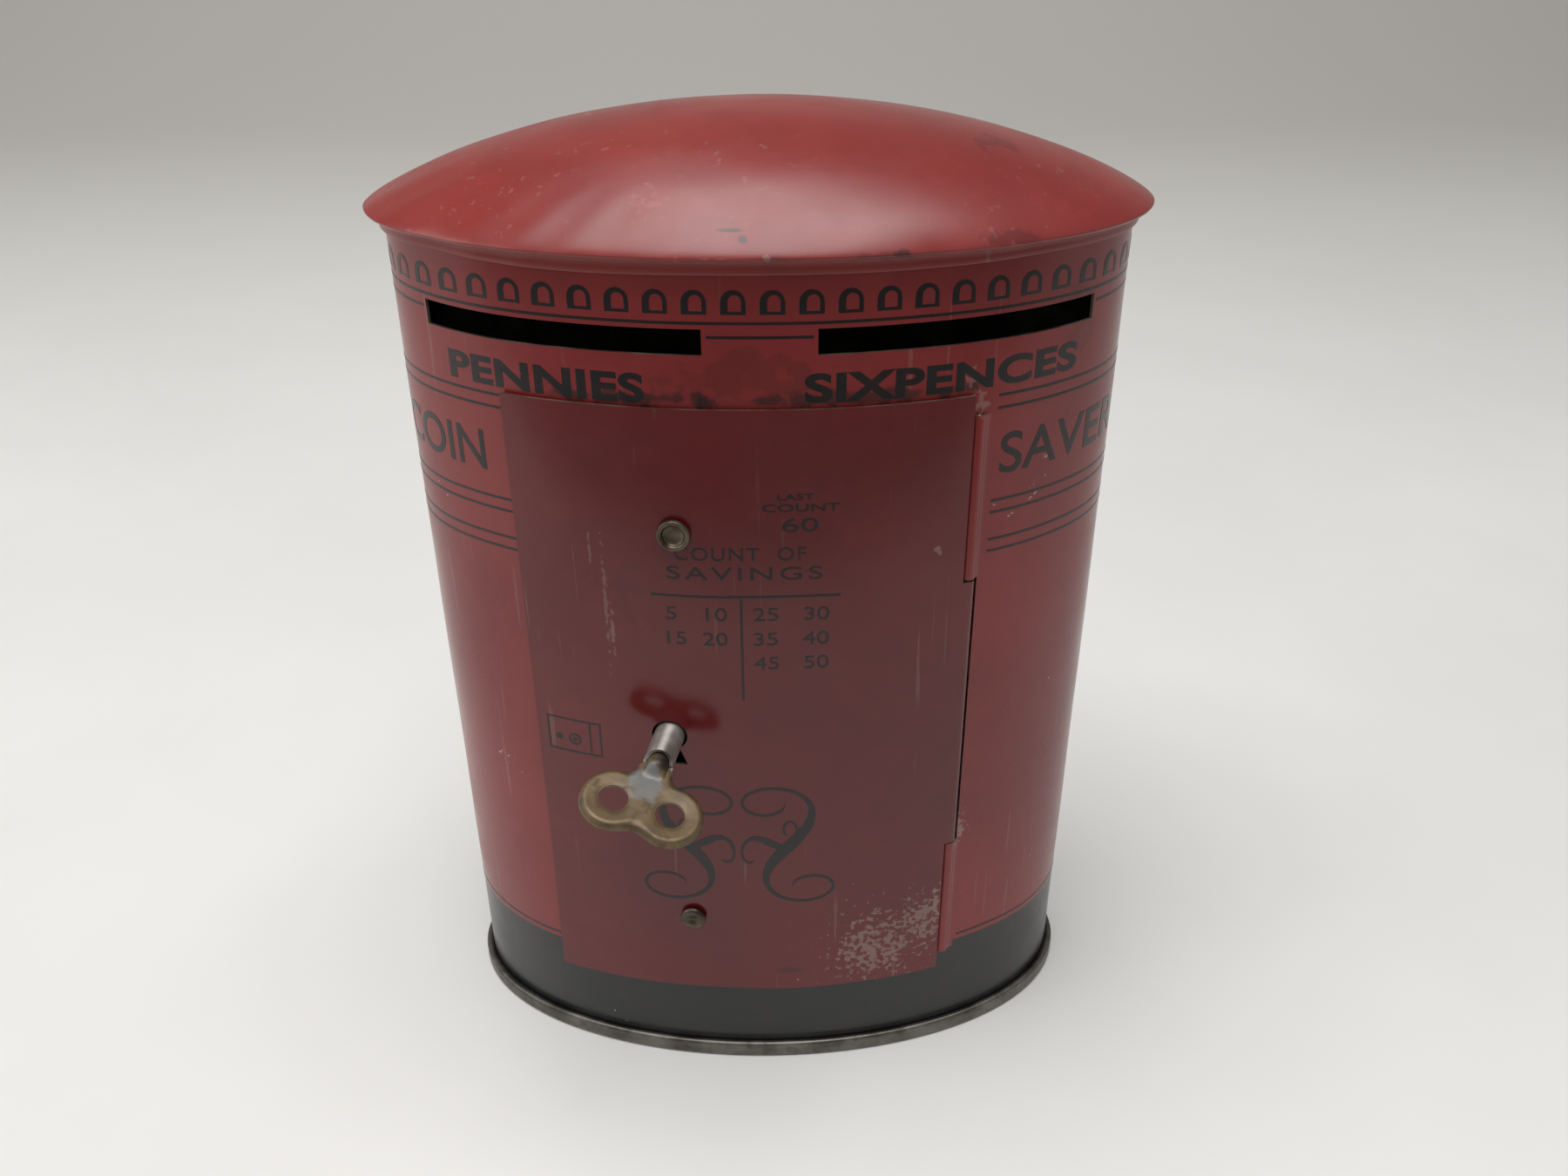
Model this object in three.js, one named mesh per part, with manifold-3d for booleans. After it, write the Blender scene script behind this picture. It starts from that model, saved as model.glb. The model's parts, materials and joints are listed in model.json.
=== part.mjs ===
// Tin money box: an oval letter-box bank of printed tinplate. A rolled wall stands in a seamed base pan
// under a pressed dome lid. A curved door hangs on a wire pin at its right edge, and a pipe key turns a
// latch that sits on a strap riveted inside the door.
//
// Millimetres, +Z up, front towards -Y. The origin is the middle of the base panel's underside.
// "along" is the distance round the wall from the middle of the front, positive to the right.
// "out" is the distance outside the wall's printed face, negative inside it.
import * as THREE from 'three';
import { mergeVertices } from 'three/addons/utils/BufferGeometryUtils.js';
import { ParametricGeometry } from 'three/addons/geometries/ParametricGeometry.js';
import Module from 'manifold-3d';

const wasm = await Module();
wasm.setup();

// Sheet and clearances
const SHEET = 0.4; // tinplate thickness
const FIT_GAP = 0.3; // air between two pieces that lie on each other
const PIN_GAP = 0.1; // running clearance round the hinge pin

// Body
const BODY_WIDTH = 102;
const BODY_DEPTH = 54;
const RIM_DROP = 2.4; // the standing rim below the base panel
const SEAM_HEIGHT = 2.9;
const SEAM_OUT = 1.3; // how far the rolled base seam stands out from the wall
const WALL_TOP = 134.2;
const BACK_SEAM_WIDTH = 5;
const BACK_SEAM_LAYERS = 3; // thicknesses of sheet in the folded seam

// Lid
const SKIRT_LAP = 1.7; // how far the skirt comes down over the wall
const LIP_RISE = 0.7; // from the wall's top up to the lip
const LIP_OUT = 2.45; // the lip's overhang past the wall
const LIP_ROLL = 0.5; // how far the lip curves under before the skirt runs in
const DOME_RISE = 12.6;
const DOME_FULLNESS = 1.7; // 1 is half an ellipse, larger is more pointed
const DOME_RINGS = 10;

// Coin slots
const SLOT_LENGTH = 39.5;
const SLOT_HEIGHT = 3.4;
const SLOT_DROP = 12.2; // from the wall's top down to the slots' lower edge
const SLOT_SPACING = 54; // middle to middle, round the wall

// Door and its opening
const DOOR_LEFT = -34.7;
const DOOR_BOTTOM = 13.2;
const DOOR_DROP = 7; // from the slots' lower edge down to the door's top
const DOOR_OVERLAP = 3; // how far the door laps the wall at its left, top and bottom
const TONGUE_RISE = 26.6; // from the door's bottom up to the hinge tongue
const TONGUE_DROP = 28; // from the door's top down to the hinge tongue

// Hinge
const HINGE_ALONG = 29.2;
const HINGE_OUT = -0.3; // the pin's axis lies just inside the wall's face
const PIN_RADIUS = 0.5;
const CURL_SWEEP = 300; // degrees of sheet curled round the pin

// Lock
const KEY_ALONG = -13.9;
const KEY_RISE = 50.6; // from the door's bottom up to the keyhole
const KEY_DROOP = 15; // degrees the key hangs below level
const KEY_YAW = 6.5; // degrees the key leans to the left
const KEY_ROLL = 12; // degrees the key stands clockwise of upright
const KEYHOLE_PLAY = 0.4; // round the tube, and below the bit
const KEYHOLE_FOOT = 5;
const KEYHOLE_WAIST = 2.8;
const RIVET_ALONG = -11.7;
const LOWER_RIVET_RISE = 15.4; // above the door's bottom
const UPPER_RIVET_DROP = 17.7; // below the door's top
const LOWER_HEAD_RADIUS = 2;
const UPPER_HEAD_RADIUS = 2.3;
const RIVET_RADIUS = 1.2;
const RIVET_HEAD_HEIGHT = 0.8;
const RIVET_DISH_DEPTH = 0.5;
const RIVET_DISH_SHARE = 0.6; // the dish's floor, and the head's crown, as shares of its radius
const RIVET_CROWN_SHARE = 0.8;
const RIVET_TAIL_RADIUS = 1.8;
const STRAP_WIDTH = 15;
const STRAP_THICKNESS = 0.6;
const STRAP_FOOT = 4; // from each rivet to the end of the strap, and to its first bend
const STRAP_PAST_LATCH = 1; // how far the strap's flat middle runs below the hanging latch
const POST_PLAY = 0.5; // between the post and the key's bore
const POST_FLANGE = 0.9; // how far the post's head stands out round it
const LATCH_DEPTH = 3.7; // from the wall's face to the latch's outer face, along the key
const LATCH_THICKNESS = 0.6;
const LATCH_HUB_RADIUS = 4.4;
const LATCH_WIDTH = 5;
const LATCH_CATCH = 2.4; // how far the thrown latch reaches behind the wall
const LATCH_PLAY = 1; // air behind the latch, which the leaning key tips towards the strap
const DOG_HEIGHT = 2.2;
const DOG_THICKNESS = 0.7;

// Key
const TUBE_RADIUS = 2.2;
const TUBE_WALL = 0.5;
const TUBE_OUTSIDE = 6; // length in front of the wall's face
const BIT_THICKNESS = 0.5;
const BIT_DEPTH = 2.3; // below the tube
const BIT_LENGTH = 2.2;
const BOW_LOBE_RADIUS = 4.8;
const BOW_LOBE_SPACING = 8.3;
const BOW_HOLE_RADIUS = 2.1;
const BOW_LOBE_DISTANCE = 7.4; // from the tube's end to the lobes' middles
const BOW_SADDLE = 3.6; // from the lobes' middles to the web's outer edge
const BOW_SHEET = 0.5;
const BOW_EDGE = 1.3; // depth of the turned-down edge
const BOW_WEB_WIDTH = 5.4; // where the web leaves the tube
const BOW_NECK_PLAY = 0.35; // between the neck and the tube's bore
const BOW_NECK_INSIDE = 2.5;
const BOW_NECK_LAP = 2; // how far the neck runs on under the web

// Facets
const OVAL_FACETS = 96;
const ROUND_FACETS = 24;
const ARC_FACETS = 16; // of each arc in an extruded outline
const SHEET_STEP = 2.8;

const HALF_WIDTH = BODY_WIDTH / 2;
const HALF_DEPTH = BODY_DEPTH / 2;
const WALL_BOTTOM = -RIM_DROP + SHEET + FIT_GAP;
const SKIRT_BOTTOM = WALL_TOP - SKIRT_LAP;
const LIP_HEIGHT = WALL_TOP + LIP_RISE;
const SLOT_BOTTOM = WALL_TOP - SLOT_DROP;
const DOOR_TOP = SLOT_BOTTOM - DOOR_DROP;
const DOOR_INNER = FIT_GAP;
const DOOR_OUTER = FIT_GAP + SHEET;
const TONGUE_BOTTOM = DOOR_BOTTOM + TONGUE_RISE;
const TONGUE_TOP = DOOR_TOP - TONGUE_DROP;
const CURL_INNER = PIN_RADIUS + PIN_GAP;
const CURL_OUTER = CURL_INNER + SHEET;
const CUT_REACH = 2 * CURL_OUTER; // how far each cut runs past both faces of the sheet
const DOOR_RIGHT = HINGE_ALONG - CURL_OUTER - FIT_GAP / 2;
const KEY_HEIGHT = DOOR_BOTTOM + KEY_RISE;
const BORE_RADIUS = TUBE_RADIUS - TUBE_WALL;
const BIT_REACH = TUBE_RADIUS + BIT_DEPTH;
const KEYHOLE_RADIUS = TUBE_RADIUS + KEYHOLE_PLAY;
const KEYHOLE_DROP = BIT_REACH + 1.5 * KEYHOLE_PLAY; // from the round's middle to the flat foot
const RIVETS = {
  rivet_lower: { height: DOOR_BOTTOM + LOWER_RIVET_RISE, headRadius: LOWER_HEAD_RADIUS },
  rivet_upper: { height: DOOR_TOP - UPPER_RIVET_DROP, headRadius: UPPER_HEAD_RADIUS },
};
const STRAP_FOOT_FACE = -FIT_GAP; // the strap's outer face at the rivets
const LATCH_BACK = -LATCH_DEPTH - LATCH_THICKNESS;
const STRAP_FRONT = LATCH_BACK - LATCH_PLAY;
const POST_RADIUS = BORE_RADIUS - POST_PLAY;
const POST_HEAD_RADIUS = POST_RADIUS + POST_FLANGE;
const BOW_START = TUBE_OUTSIDE + BOW_LOBE_DISTANCE;
const BOW_NECK_WIDTH = 2 * (BORE_RADIUS - BOW_NECK_PLAY);
const radians = THREE.MathUtils.degToRad;

const ovalLine = new THREE.EllipseCurve(0, 0, HALF_WIDTH, HALF_DEPTH, -Math.PI / 2, 1.5 * Math.PI);
ovalLine.arcLengthDivisions = 720;
const GIRTH = ovalLine.getLength();

// A point of the oval at a turn from the front's middle, moved out along the wall's normal.
function ovalPoint(turn, out) {
  const [sin, cos] = [Math.sin(turn), Math.cos(turn)];
  const normal = new THREE.Vector2(HALF_DEPTH * sin, -HALF_WIDTH * cos).normalize();
  return new THREE.Vector2(HALF_WIDTH * sin, -HALF_DEPTH * cos).addScaledVector(normal, out);
}

function turnAt(along) {
  const share = THREE.MathUtils.euclideanModulo(along / GIRTH, 1);
  return 2 * Math.PI * ovalLine.getUtoTmapping(share);
}

function wallPoint(along, out) {
  return ovalPoint(turnAt(along), out);
}

// A group that hangs on the wall like a picture: X to the right, Y up, Z straight out of the wall.
function hangOnWall(along, height, out = 0) {
  const turn = turnAt(along);
  const place = wallPoint(along, out);
  const group = new THREE.Group();
  group.position.set(place.x, place.y, height);
  group.rotation.set(Math.PI / 2, Math.atan2(HALF_DEPTH * Math.sin(turn), HALF_WIDTH * Math.cos(turn)), 0);
  group.updateMatrix();
  return group;
}

// A closed mesh becomes a solid once its shared corners are one and its collapsed faces are gone.
function solid(geometry) {
  geometry.deleteAttribute('normal');
  geometry.deleteAttribute('uv');
  const merged = mergeVertices(geometry, 1e-4);
  const corners = merged.index.array;
  const faces = [];
  for (let i = 0; i < corners.length; i += 3) {
    const [a, b, c] = corners.slice(i, i + 3);
    if (a !== b && b !== c && c !== a) faces.push(a, b, c);
  }
  return new wasm.Manifold(new wasm.Mesh({
    numProp: 3,
    vertProperties: new Float32Array(merged.attributes.position.array),
    triVerts: new Uint32Array(faces),
  }));
}

function geometryOf(body) {
  const { vertProperties, triVerts } = body.getMesh();
  const geometry = new THREE.BufferGeometry();
  geometry.setAttribute('position', new THREE.BufferAttribute(vertProperties, 3));
  geometry.setIndex(new THREE.BufferAttribute(triVerts, 1));
  geometry.computeVertexNormals();
  return geometry;
}

function piece(name, body, finish) {
  const mesh = new THREE.Mesh(geometryOf(body), new THREE.MeshStandardMaterial(finish));
  mesh.name = name;
  return mesh;
}

// A flat outline raised from one level to another.
function raised(shape, low, high) {
  const settings = { depth: high - low, bevelEnabled: false, curveSegments: ARC_FACETS };
  return new THREE.ExtrudeGeometry(shape, settings).translate(0, 0, low);
}

// Sheet bent to the oval, between two distances along the wall and two distances out of it.
function bentSheet(from, to, low, high, inner, outer) {
  const steps = Math.ceil((to - from) / SHEET_STEP);
  const stations = Array.from({ length: steps + 1 }, (_, i) => from + ((to - from) * i) / steps);
  const face = stations.map((along) => wallPoint(along, outer));
  const back = stations.reverse().map((along) => wallPoint(along, inner));
  return solid(raised(new THREE.Shape([...face, ...back]), low, high));
}

function ovalOutline(out) {
  return Array.from({ length: OVAL_FACETS }, (_, i) => ovalPoint((2 * Math.PI * i) / OVAL_FACETS, out));
}

// A pressing whose section is a closed chain of rings: each is the oval moved out, shrunk to a share
// of its size, at a height. A share of 0 closes it on the axis.
function ovalPressing(rings) {
  const place = (around, down, target) => {
    const ring = rings[Math.round(down * (rings.length - 1))];
    const { x, y } = ovalPoint(2 * Math.PI * around, ring.out);
    target.set(x * ring.share, y * ring.share, ring.height);
  };
  return solid(new ParametricGeometry(place, OVAL_FACETS, rings.length - 1));
}

// A turned shape about the Z axis, from [radius, height] pairs.
function turned(profile) {
  const points = profile.map(([radius, height]) => new THREE.Vector2(radius, height));
  return new THREE.LatheGeometry(points, ROUND_FACETS).rotateX(Math.PI / 2);
}

function rod(radius, low, high) {
  return turned([[0, low], [radius, low], [radius, high], [0, high]]);
}

// Sheet curled round the hinge pin. The angle runs from the wall's right-hand direction, inwards.
function curl(startDegrees, low, high) {
  const start = radians(startDegrees);
  const end = start + radians(CURL_SWEEP);
  const section = new THREE.Shape();
  section.absarc(0, 0, CURL_OUTER, start, end, false);
  section.absarc(0, 0, CURL_INNER, end, start, true);
  const hinge = hangOnWall(HINGE_ALONG, 0, HINGE_OUT);
  const geometry = raised(section, low, high).rotateZ(hinge.rotation.y);
  return solid(geometry.translate(hinge.position.x, hinge.position.y, 0));
}

function keyholeShape() {
  const waist = Math.acos(KEYHOLE_WAIST / 2 / KEYHOLE_RADIUS);
  const shape = new THREE.Shape();
  shape.absarc(0, 0, KEYHOLE_RADIUS, -waist, Math.PI + waist, false);
  shape.lineTo(-KEYHOLE_FOOT / 2, -KEYHOLE_DROP);
  shape.lineTo(KEYHOLE_FOOT / 2, -KEYHOLE_DROP);
  return shape;
}

// The lock's own frame: Z runs out along the key, which droops and leans off the wall's normal.
function lockFrame(roll = 0) {
  const frame = hangOnWall(KEY_ALONG, KEY_HEIGHT);
  frame.rotateX(radians(KEY_DROOP));
  frame.rotateY(-radians(KEY_YAW));
  frame.rotateZ(-radians(roll));
  frame.updateMatrix();
  return frame;
}

// ---- Body ---------------------------------------------------------------------------------------

function buildWall() {
  const section = new THREE.Shape(ovalOutline(0));
  section.holes.push(new THREE.Path(ovalOutline(-SHEET).reverse()));
  let wall = solid(raised(section, WALL_BOTTOM, WALL_TOP));

  const seamInner = -BACK_SEAM_LAYERS * SHEET;
  const seam = bentSheet((GIRTH - BACK_SEAM_WIDTH) / 2, (GIRTH + BACK_SEAM_WIDTH) / 2,
    SEAM_HEIGHT, SKIRT_BOTTOM, seamInner, -SHEET / 2);
  wall = wall.add(seam);

  for (const middle of [-SLOT_SPACING / 2, SLOT_SPACING / 2]) {
    wall = wall.subtract(bentSheet(middle - SLOT_LENGTH / 2, middle + SLOT_LENGTH / 2,
      SLOT_BOTTOM, SLOT_BOTTOM + SLOT_HEIGHT, -CUT_REACH, CUT_REACH));
  }

  const openLeft = DOOR_LEFT + DOOR_OVERLAP;
  const openBottom = DOOR_BOTTOM + DOOR_OVERLAP;
  const openTop = DOOR_TOP - DOOR_OVERLAP;
  const curlJoin = HINGE_ALONG + (CURL_INNER + CURL_OUTER) / 2;
  wall = wall.subtract(bentSheet(openLeft, curlJoin, openBottom, openTop, -CUT_REACH, CUT_REACH));

  const tongueRight = HINGE_ALONG + CURL_OUTER + FIT_GAP;
  wall = wall.subtract(bentSheet(openLeft, tongueRight,
    TONGUE_BOTTOM - FIT_GAP, TONGUE_TOP + FIT_GAP, -CUT_REACH, CUT_REACH));

  const curlStart = 360 - CURL_SWEEP;
  wall = wall.add(curl(curlStart, openBottom, TONGUE_BOTTOM - FIT_GAP));
  return wall.add(curl(curlStart, TONGUE_TOP + FIT_GAP, openTop));
}

function buildBasePan() {
  const bottom = -RIM_DROP;
  const seamTop = bottom + SEAM_HEIGHT;
  const round = SHEET;
  const ring = (out, height, share = 1) => ({ out, height, share });
  const channelInner = -SHEET - FIT_GAP;
  return ovalPressing([
    ring(0, 0, 0),
    ring(channelInner - SHEET, 0),
    ring(channelInner - SHEET, bottom),
    ring(SEAM_OUT - round, bottom),
    ring(SEAM_OUT, bottom + round),
    ring(SEAM_OUT, seamTop - round),
    ring(SEAM_OUT - round, seamTop),
    ring(FIT_GAP, seamTop),
    ring(FIT_GAP, bottom + SHEET),
    ring(channelInner, bottom + SHEET),
    ring(channelInner, SHEET),
    ring(0, SHEET, 0),
  ]);
}

function buildLid() {
  // Half a dome section: the ring's share is the sine of an angle, the height a power of its cosine.
  const dome = (out, rise) => Array.from({ length: DOME_RINGS + 1 }, (_, i) => {
    const angle = (Math.PI / 2) * (i / DOME_RINGS);
    const height = LIP_HEIGHT + rise * Math.max(Math.cos(angle), 0) ** DOME_FULLNESS;
    return { out, height, share: Math.sin(angle) };
  });
  const skirtInner = FIT_GAP;
  const skirtOuter = FIT_GAP + SHEET;
  return ovalPressing([
    ...dome(LIP_OUT - SHEET, DOME_RISE - SHEET),
    { out: LIP_OUT - SHEET - LIP_ROLL / 2, height: LIP_HEIGHT - LIP_ROLL, share: 1 },
    { out: skirtInner, height: SKIRT_BOTTOM, share: 1 },
    { out: skirtOuter, height: SKIRT_BOTTOM, share: 1 },
    { out: LIP_OUT - LIP_ROLL / 4, height: LIP_HEIGHT - LIP_ROLL, share: 1 },
    ...dome(LIP_OUT, DOME_RISE).reverse(),
  ]);
}

// ---- Door and hinge -----------------------------------------------------------------------------

function buildDoor() {
  let door = bentSheet(DOOR_LEFT, DOOR_RIGHT, DOOR_BOTTOM, DOOR_TOP, DOOR_INNER, DOOR_OUTER);
  door = door.add(bentSheet(DOOR_RIGHT - SHEET_STEP, HINGE_ALONG, TONGUE_BOTTOM, TONGUE_TOP,
    DOOR_INNER, DOOR_OUTER));
  door = door.add(curl(-90, TONGUE_BOTTOM, TONGUE_TOP));

  const keyhole = hangOnWall(KEY_ALONG, KEY_HEIGHT);
  door = door.subtract(solid(raised(keyholeShape(), -CUT_REACH, CUT_REACH).applyMatrix4(keyhole.matrix)));
  for (const { height } of Object.values(RIVETS)) {
    const hole = rod(RIVET_RADIUS + FIT_GAP, -CUT_REACH, CUT_REACH);
    door = door.subtract(solid(hole.applyMatrix4(hangOnWall(RIVET_ALONG, height).matrix)));
  }
  return door;
}

function buildHingePin() {
  const low = DOOR_BOTTOM + DOOR_OVERLAP;
  const pin = piece('hinge_pin', solid(rod(PIN_RADIUS, low, DOOR_TOP - DOOR_OVERLAP)), WIRE);
  const place = wallPoint(HINGE_ALONG, HINGE_OUT);
  pin.position.set(place.x, place.y, 0);
  return pin;
}

// ---- Lock ---------------------------------------------------------------------------------------

function buildRivet(name) {
  const headBase = DOOR_OUTER + FIT_GAP;
  const headTop = headBase + RIVET_HEAD_HEIGHT;
  const { height, headRadius } = RIVETS[name];
  const tailFace = STRAP_FOOT_FACE - STRAP_THICKNESS - FIT_GAP;
  const profile = [
    [0, tailFace - RIVET_HEAD_HEIGHT],
    [RIVET_TAIL_RADIUS, tailFace - RIVET_HEAD_HEIGHT],
    [RIVET_TAIL_RADIUS, tailFace],
    [RIVET_RADIUS, tailFace],
    [RIVET_RADIUS, headBase],
    [headRadius, headBase],
    [headRadius, headBase + RIVET_HEAD_HEIGHT / 2],
    [headRadius * RIVET_CROWN_SHARE, headTop],
    [headRadius * RIVET_DISH_SHARE, headTop - RIVET_DISH_DEPTH / 3],
    [0, headTop - RIVET_DISH_DEPTH],
  ];
  const rivet = piece(name, solid(turned(profile)), RIVET_STEEL);
  const hanger = hangOnWall(RIVET_ALONG, height);
  hanger.add(rivet);
  return hanger;
}

// Distance from the key's axis to the thrown latch's tip.
function latchReach() {
  const edge = wallPoint(DOOR_LEFT + DOOR_OVERLAP - LATCH_CATCH, -SHEET);
  return edge.distanceTo(wallPoint(KEY_ALONG, -LATCH_DEPTH));
}

// A strip from rivet to rivet. Its middle stands off behind the latch and leans as the key droops, as
// far down as the latch hangs.
function buildStrap() {
  const droop = radians(KEY_DROOP);
  const seat = STRAP_FRONT - STRAP_THICKNESS / 2;
  const onLean = (down) => [
    seat * Math.cos(droop) - down * Math.sin(droop),
    KEY_HEIGHT - seat * Math.sin(droop) - down * Math.cos(droop),
  ];
  const foot = STRAP_FOOT_FACE - STRAP_THICKNESS / 2;
  const [lower, upper] = [RIVETS.rivet_lower.height, RIVETS.rivet_upper.height];
  const line = [
    [foot, upper + STRAP_FOOT],
    [foot, upper - STRAP_FOOT],
    onLean(-LATCH_HUB_RADIUS - STRAP_FOOT),
    onLean(latchReach() + STRAP_PAST_LATCH),
    [foot, lower + STRAP_FOOT],
    [foot, lower - STRAP_FOOT],
  ];
  const edge = (side) => line.map(([out, up]) => new THREE.Vector2(out + (side * STRAP_THICKNESS) / 2, up));
  const section = new THREE.Shape([...edge(-1), ...edge(1).reverse()]);
  const strip = raised(section, -STRAP_WIDTH / 2, STRAP_WIDTH / 2).rotateY(-Math.PI / 2);
  let strap = solid(strip.applyMatrix4(hangOnWall(RIVET_ALONG, 0).matrix));

  for (const { height } of Object.values(RIVETS)) {
    const hole = rod(RIVET_RADIUS + FIT_GAP, foot - STRAP_THICKNESS, foot + STRAP_THICKNESS);
    strap = strap.subtract(solid(hole.applyMatrix4(hangOnWall(RIVET_ALONG, height).matrix)));
  }
  const postHole = rod(POST_RADIUS + FIT_GAP, STRAP_FRONT - 4 * STRAP_THICKNESS, 0);
  return strap.subtract(solid(postHole.applyMatrix4(lockFrame().matrix)));
}

function buildPost() {
  const headFace = STRAP_FRONT - STRAP_THICKNESS - 2 * FIT_GAP;
  return solid(turned([
    [0, headFace - STRAP_THICKNESS],
    [POST_HEAD_RADIUS, headFace - STRAP_THICKNESS],
    [POST_HEAD_RADIUS, headFace],
    [POST_RADIUS, headFace],
    [POST_RADIUS, -FIT_GAP],
    [0, -FIT_GAP],
  ]));
}

// The latch hangs straight down when the door is free and turns to the left, behind the wall, when it is
// locked. Its two dogs stand with the key's bit between them.
function buildLatch() {
  const reach = latchReach();
  const half = LATCH_WIDTH / 2;
  const shoulder = Math.acos(half / LATCH_HUB_RADIUS);
  const outline = new THREE.Shape();
  outline.absarc(0, 0, LATCH_HUB_RADIUS, -shoulder, Math.PI + shoulder, false);
  outline.lineTo(-half, half - reach);
  outline.absarc(0, half - reach, half, Math.PI, 2 * Math.PI, false);
  const bore = new THREE.Path();
  bore.absarc(0, 0, POST_RADIUS + FIT_GAP, 0, 2 * Math.PI, true);
  outline.holes.push(bore);
  const plate = raised(outline, LATCH_BACK, -LATCH_DEPTH).rotateZ(radians(KEY_ROLL));
  let latch = solid(plate);
  for (const side of [-1, 1]) {
    const dog = new THREE.BoxGeometry(DOG_THICKNESS, BIT_REACH - TUBE_RADIUS - 2 * FIT_GAP, DOG_HEIGHT);
    dog.translate(side * (BIT_THICKNESS / 2 + FIT_GAP + DOG_THICKNESS / 2),
      -(BIT_REACH + TUBE_RADIUS) / 2, -LATCH_DEPTH + DOG_HEIGHT / 2 - SHEET / 2);
    latch = latch.add(solid(dog));
  }
  return latch;
}

// ---- Key ----------------------------------------------------------------------------------------

function buildKeyTube() {
  const innerEnd = -LATCH_DEPTH + FIT_GAP;
  const section = [
    [BORE_RADIUS, innerEnd],
    [TUBE_RADIUS, innerEnd],
    [TUBE_RADIUS, TUBE_OUTSIDE],
    [BORE_RADIUS, TUBE_OUTSIDE],
    [BORE_RADIUS, innerEnd],
  ];
  const inRim = TUBE_RADIUS - TUBE_WALL / 2;
  const bit = new THREE.BoxGeometry(BIT_THICKNESS, BIT_REACH - inRim, BIT_LENGTH);
  bit.translate(0, -(BIT_REACH + inRim) / 2, innerEnd + BIT_LENGTH / 2);
  return solid(turned(section)).add(solid(bit));
}

// The bow lies in the plane of the key's axis: two lobes and a web, drawn in by an inset.
function bowBlank(inset, low, high) {
  const plate = (shape) => solid(raised(shape, low, high).rotateX(Math.PI / 2));
  const lobe = BOW_LOBE_SPACING / 2;
  const web = new THREE.Shape([
    new THREE.Vector2(-BOW_WEB_WIDTH / 2 + inset, TUBE_OUTSIDE + FIT_GAP + inset),
    new THREE.Vector2(BOW_WEB_WIDTH / 2 - inset, TUBE_OUTSIDE + FIT_GAP + inset),
    new THREE.Vector2(lobe + BOW_HOLE_RADIUS - inset, BOW_START - BOW_HOLE_RADIUS),
    new THREE.Vector2(lobe / 2, BOW_START + BOW_SADDLE - inset),
    new THREE.Vector2(-lobe / 2, BOW_START + BOW_SADDLE - inset),
    new THREE.Vector2(-lobe - BOW_HOLE_RADIUS + inset, BOW_START - BOW_HOLE_RADIUS),
  ]);
  let blank = plate(web);
  for (const side of [-1, 1]) {
    const disc = new THREE.Shape();
    disc.absarc(side * lobe, BOW_START, BOW_LOBE_RADIUS - inset, 0, 2 * Math.PI, false);
    blank = blank.add(plate(disc));
  }
  return blank;
}

function buildBow() {
  // The section is drawn with Y along the key, so rotateX stands it up with its height towards -Y.
  const half = BOW_SHEET / 2;
  let bow = bowBlank(0, -half, BOW_EDGE - half).subtract(bowBlank(BOW_SHEET, half, BOW_EDGE));
  const neckLength = BOW_NECK_INSIDE + BOW_NECK_LAP;
  const neck = new THREE.BoxGeometry(BOW_NECK_WIDTH, BOW_SHEET, neckLength);
  neck.translate(0, 0, TUBE_OUTSIDE - BOW_NECK_INSIDE + neckLength / 2);
  bow = bow.add(solid(neck));
  for (const side of [-1, 1]) {
    const hole = rod(BOW_HOLE_RADIUS, -BOW_EDGE * 2, BOW_EDGE * 2).rotateX(Math.PI / 2);
    bow = bow.subtract(solid(hole.translate((side * BOW_LOBE_SPACING) / 2, 0, BOW_START)));
  }
  return bow;
}

// ---- Assembly -----------------------------------------------------------------------------------

const RED_PRINT = { color: 0x9c2428, roughness: 0.28, metalness: 0.1 };
const DEEP_RED_PRINT = { color: 0x82181d, roughness: 0.22, metalness: 0.1 };
const BARE_TIN = { color: 0x8b8883, roughness: 0.42, metalness: 0.9 };
const RIVET_STEEL = { color: 0x6f6a62, roughness: 0.45, metalness: 0.9 };
const WIRE = { color: 0x8f8c88, roughness: 0.35, metalness: 0.95 };
const LOCK_STEEL = { color: 0x7b7872, roughness: 0.4, metalness: 0.9 };
const KEY_STEEL = { color: 0xa7a299, roughness: 0.38, metalness: 0.9 };
const WORN_BRASS = { color: 0x84704a, roughness: 0.46, metalness: 0.75 };

const group = new THREE.Group();
group.add(
  piece('body_wall', buildWall(), RED_PRINT),
  piece('base_pan', buildBasePan(), BARE_TIN),
  piece('lid', buildLid(), RED_PRINT),
  piece('door', buildDoor(), DEEP_RED_PRINT),
  buildHingePin(),
  piece('lock_strap', buildStrap(), BARE_TIN),
);
for (const name of Object.keys(RIVETS)) group.add(buildRivet(name));

const lock = lockFrame();
lock.add(piece('lock_post', buildPost(), LOCK_STEEL));
const turning = lockFrame(KEY_ROLL);
turning.add(
  piece('lock_latch', buildLatch(), LOCK_STEEL),
  piece('key_tube', buildKeyTube(), KEY_STEEL),
  piece('key_bow', buildBow(), WORN_BRASS),
);
group.add(lock, turning);

export default group;
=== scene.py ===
# %% [markdown]
# # A tin money box with a working door and key
# The box is a rolled oval wall of printed tinplate. It stands in a seamed base pan under a pressed,
# domed lid. A curved door swings on a wire pin, and a pipe key turns a latch behind it.
# The engineering model is loaded first, as a fixed frame. Each piece of it then gets a finished
# surface, worked out from formulas, that rides on the same moving body.

import json
import math

import bmesh
import bpy
import numpy as np
from mathutils import Matrix, Vector


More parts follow.
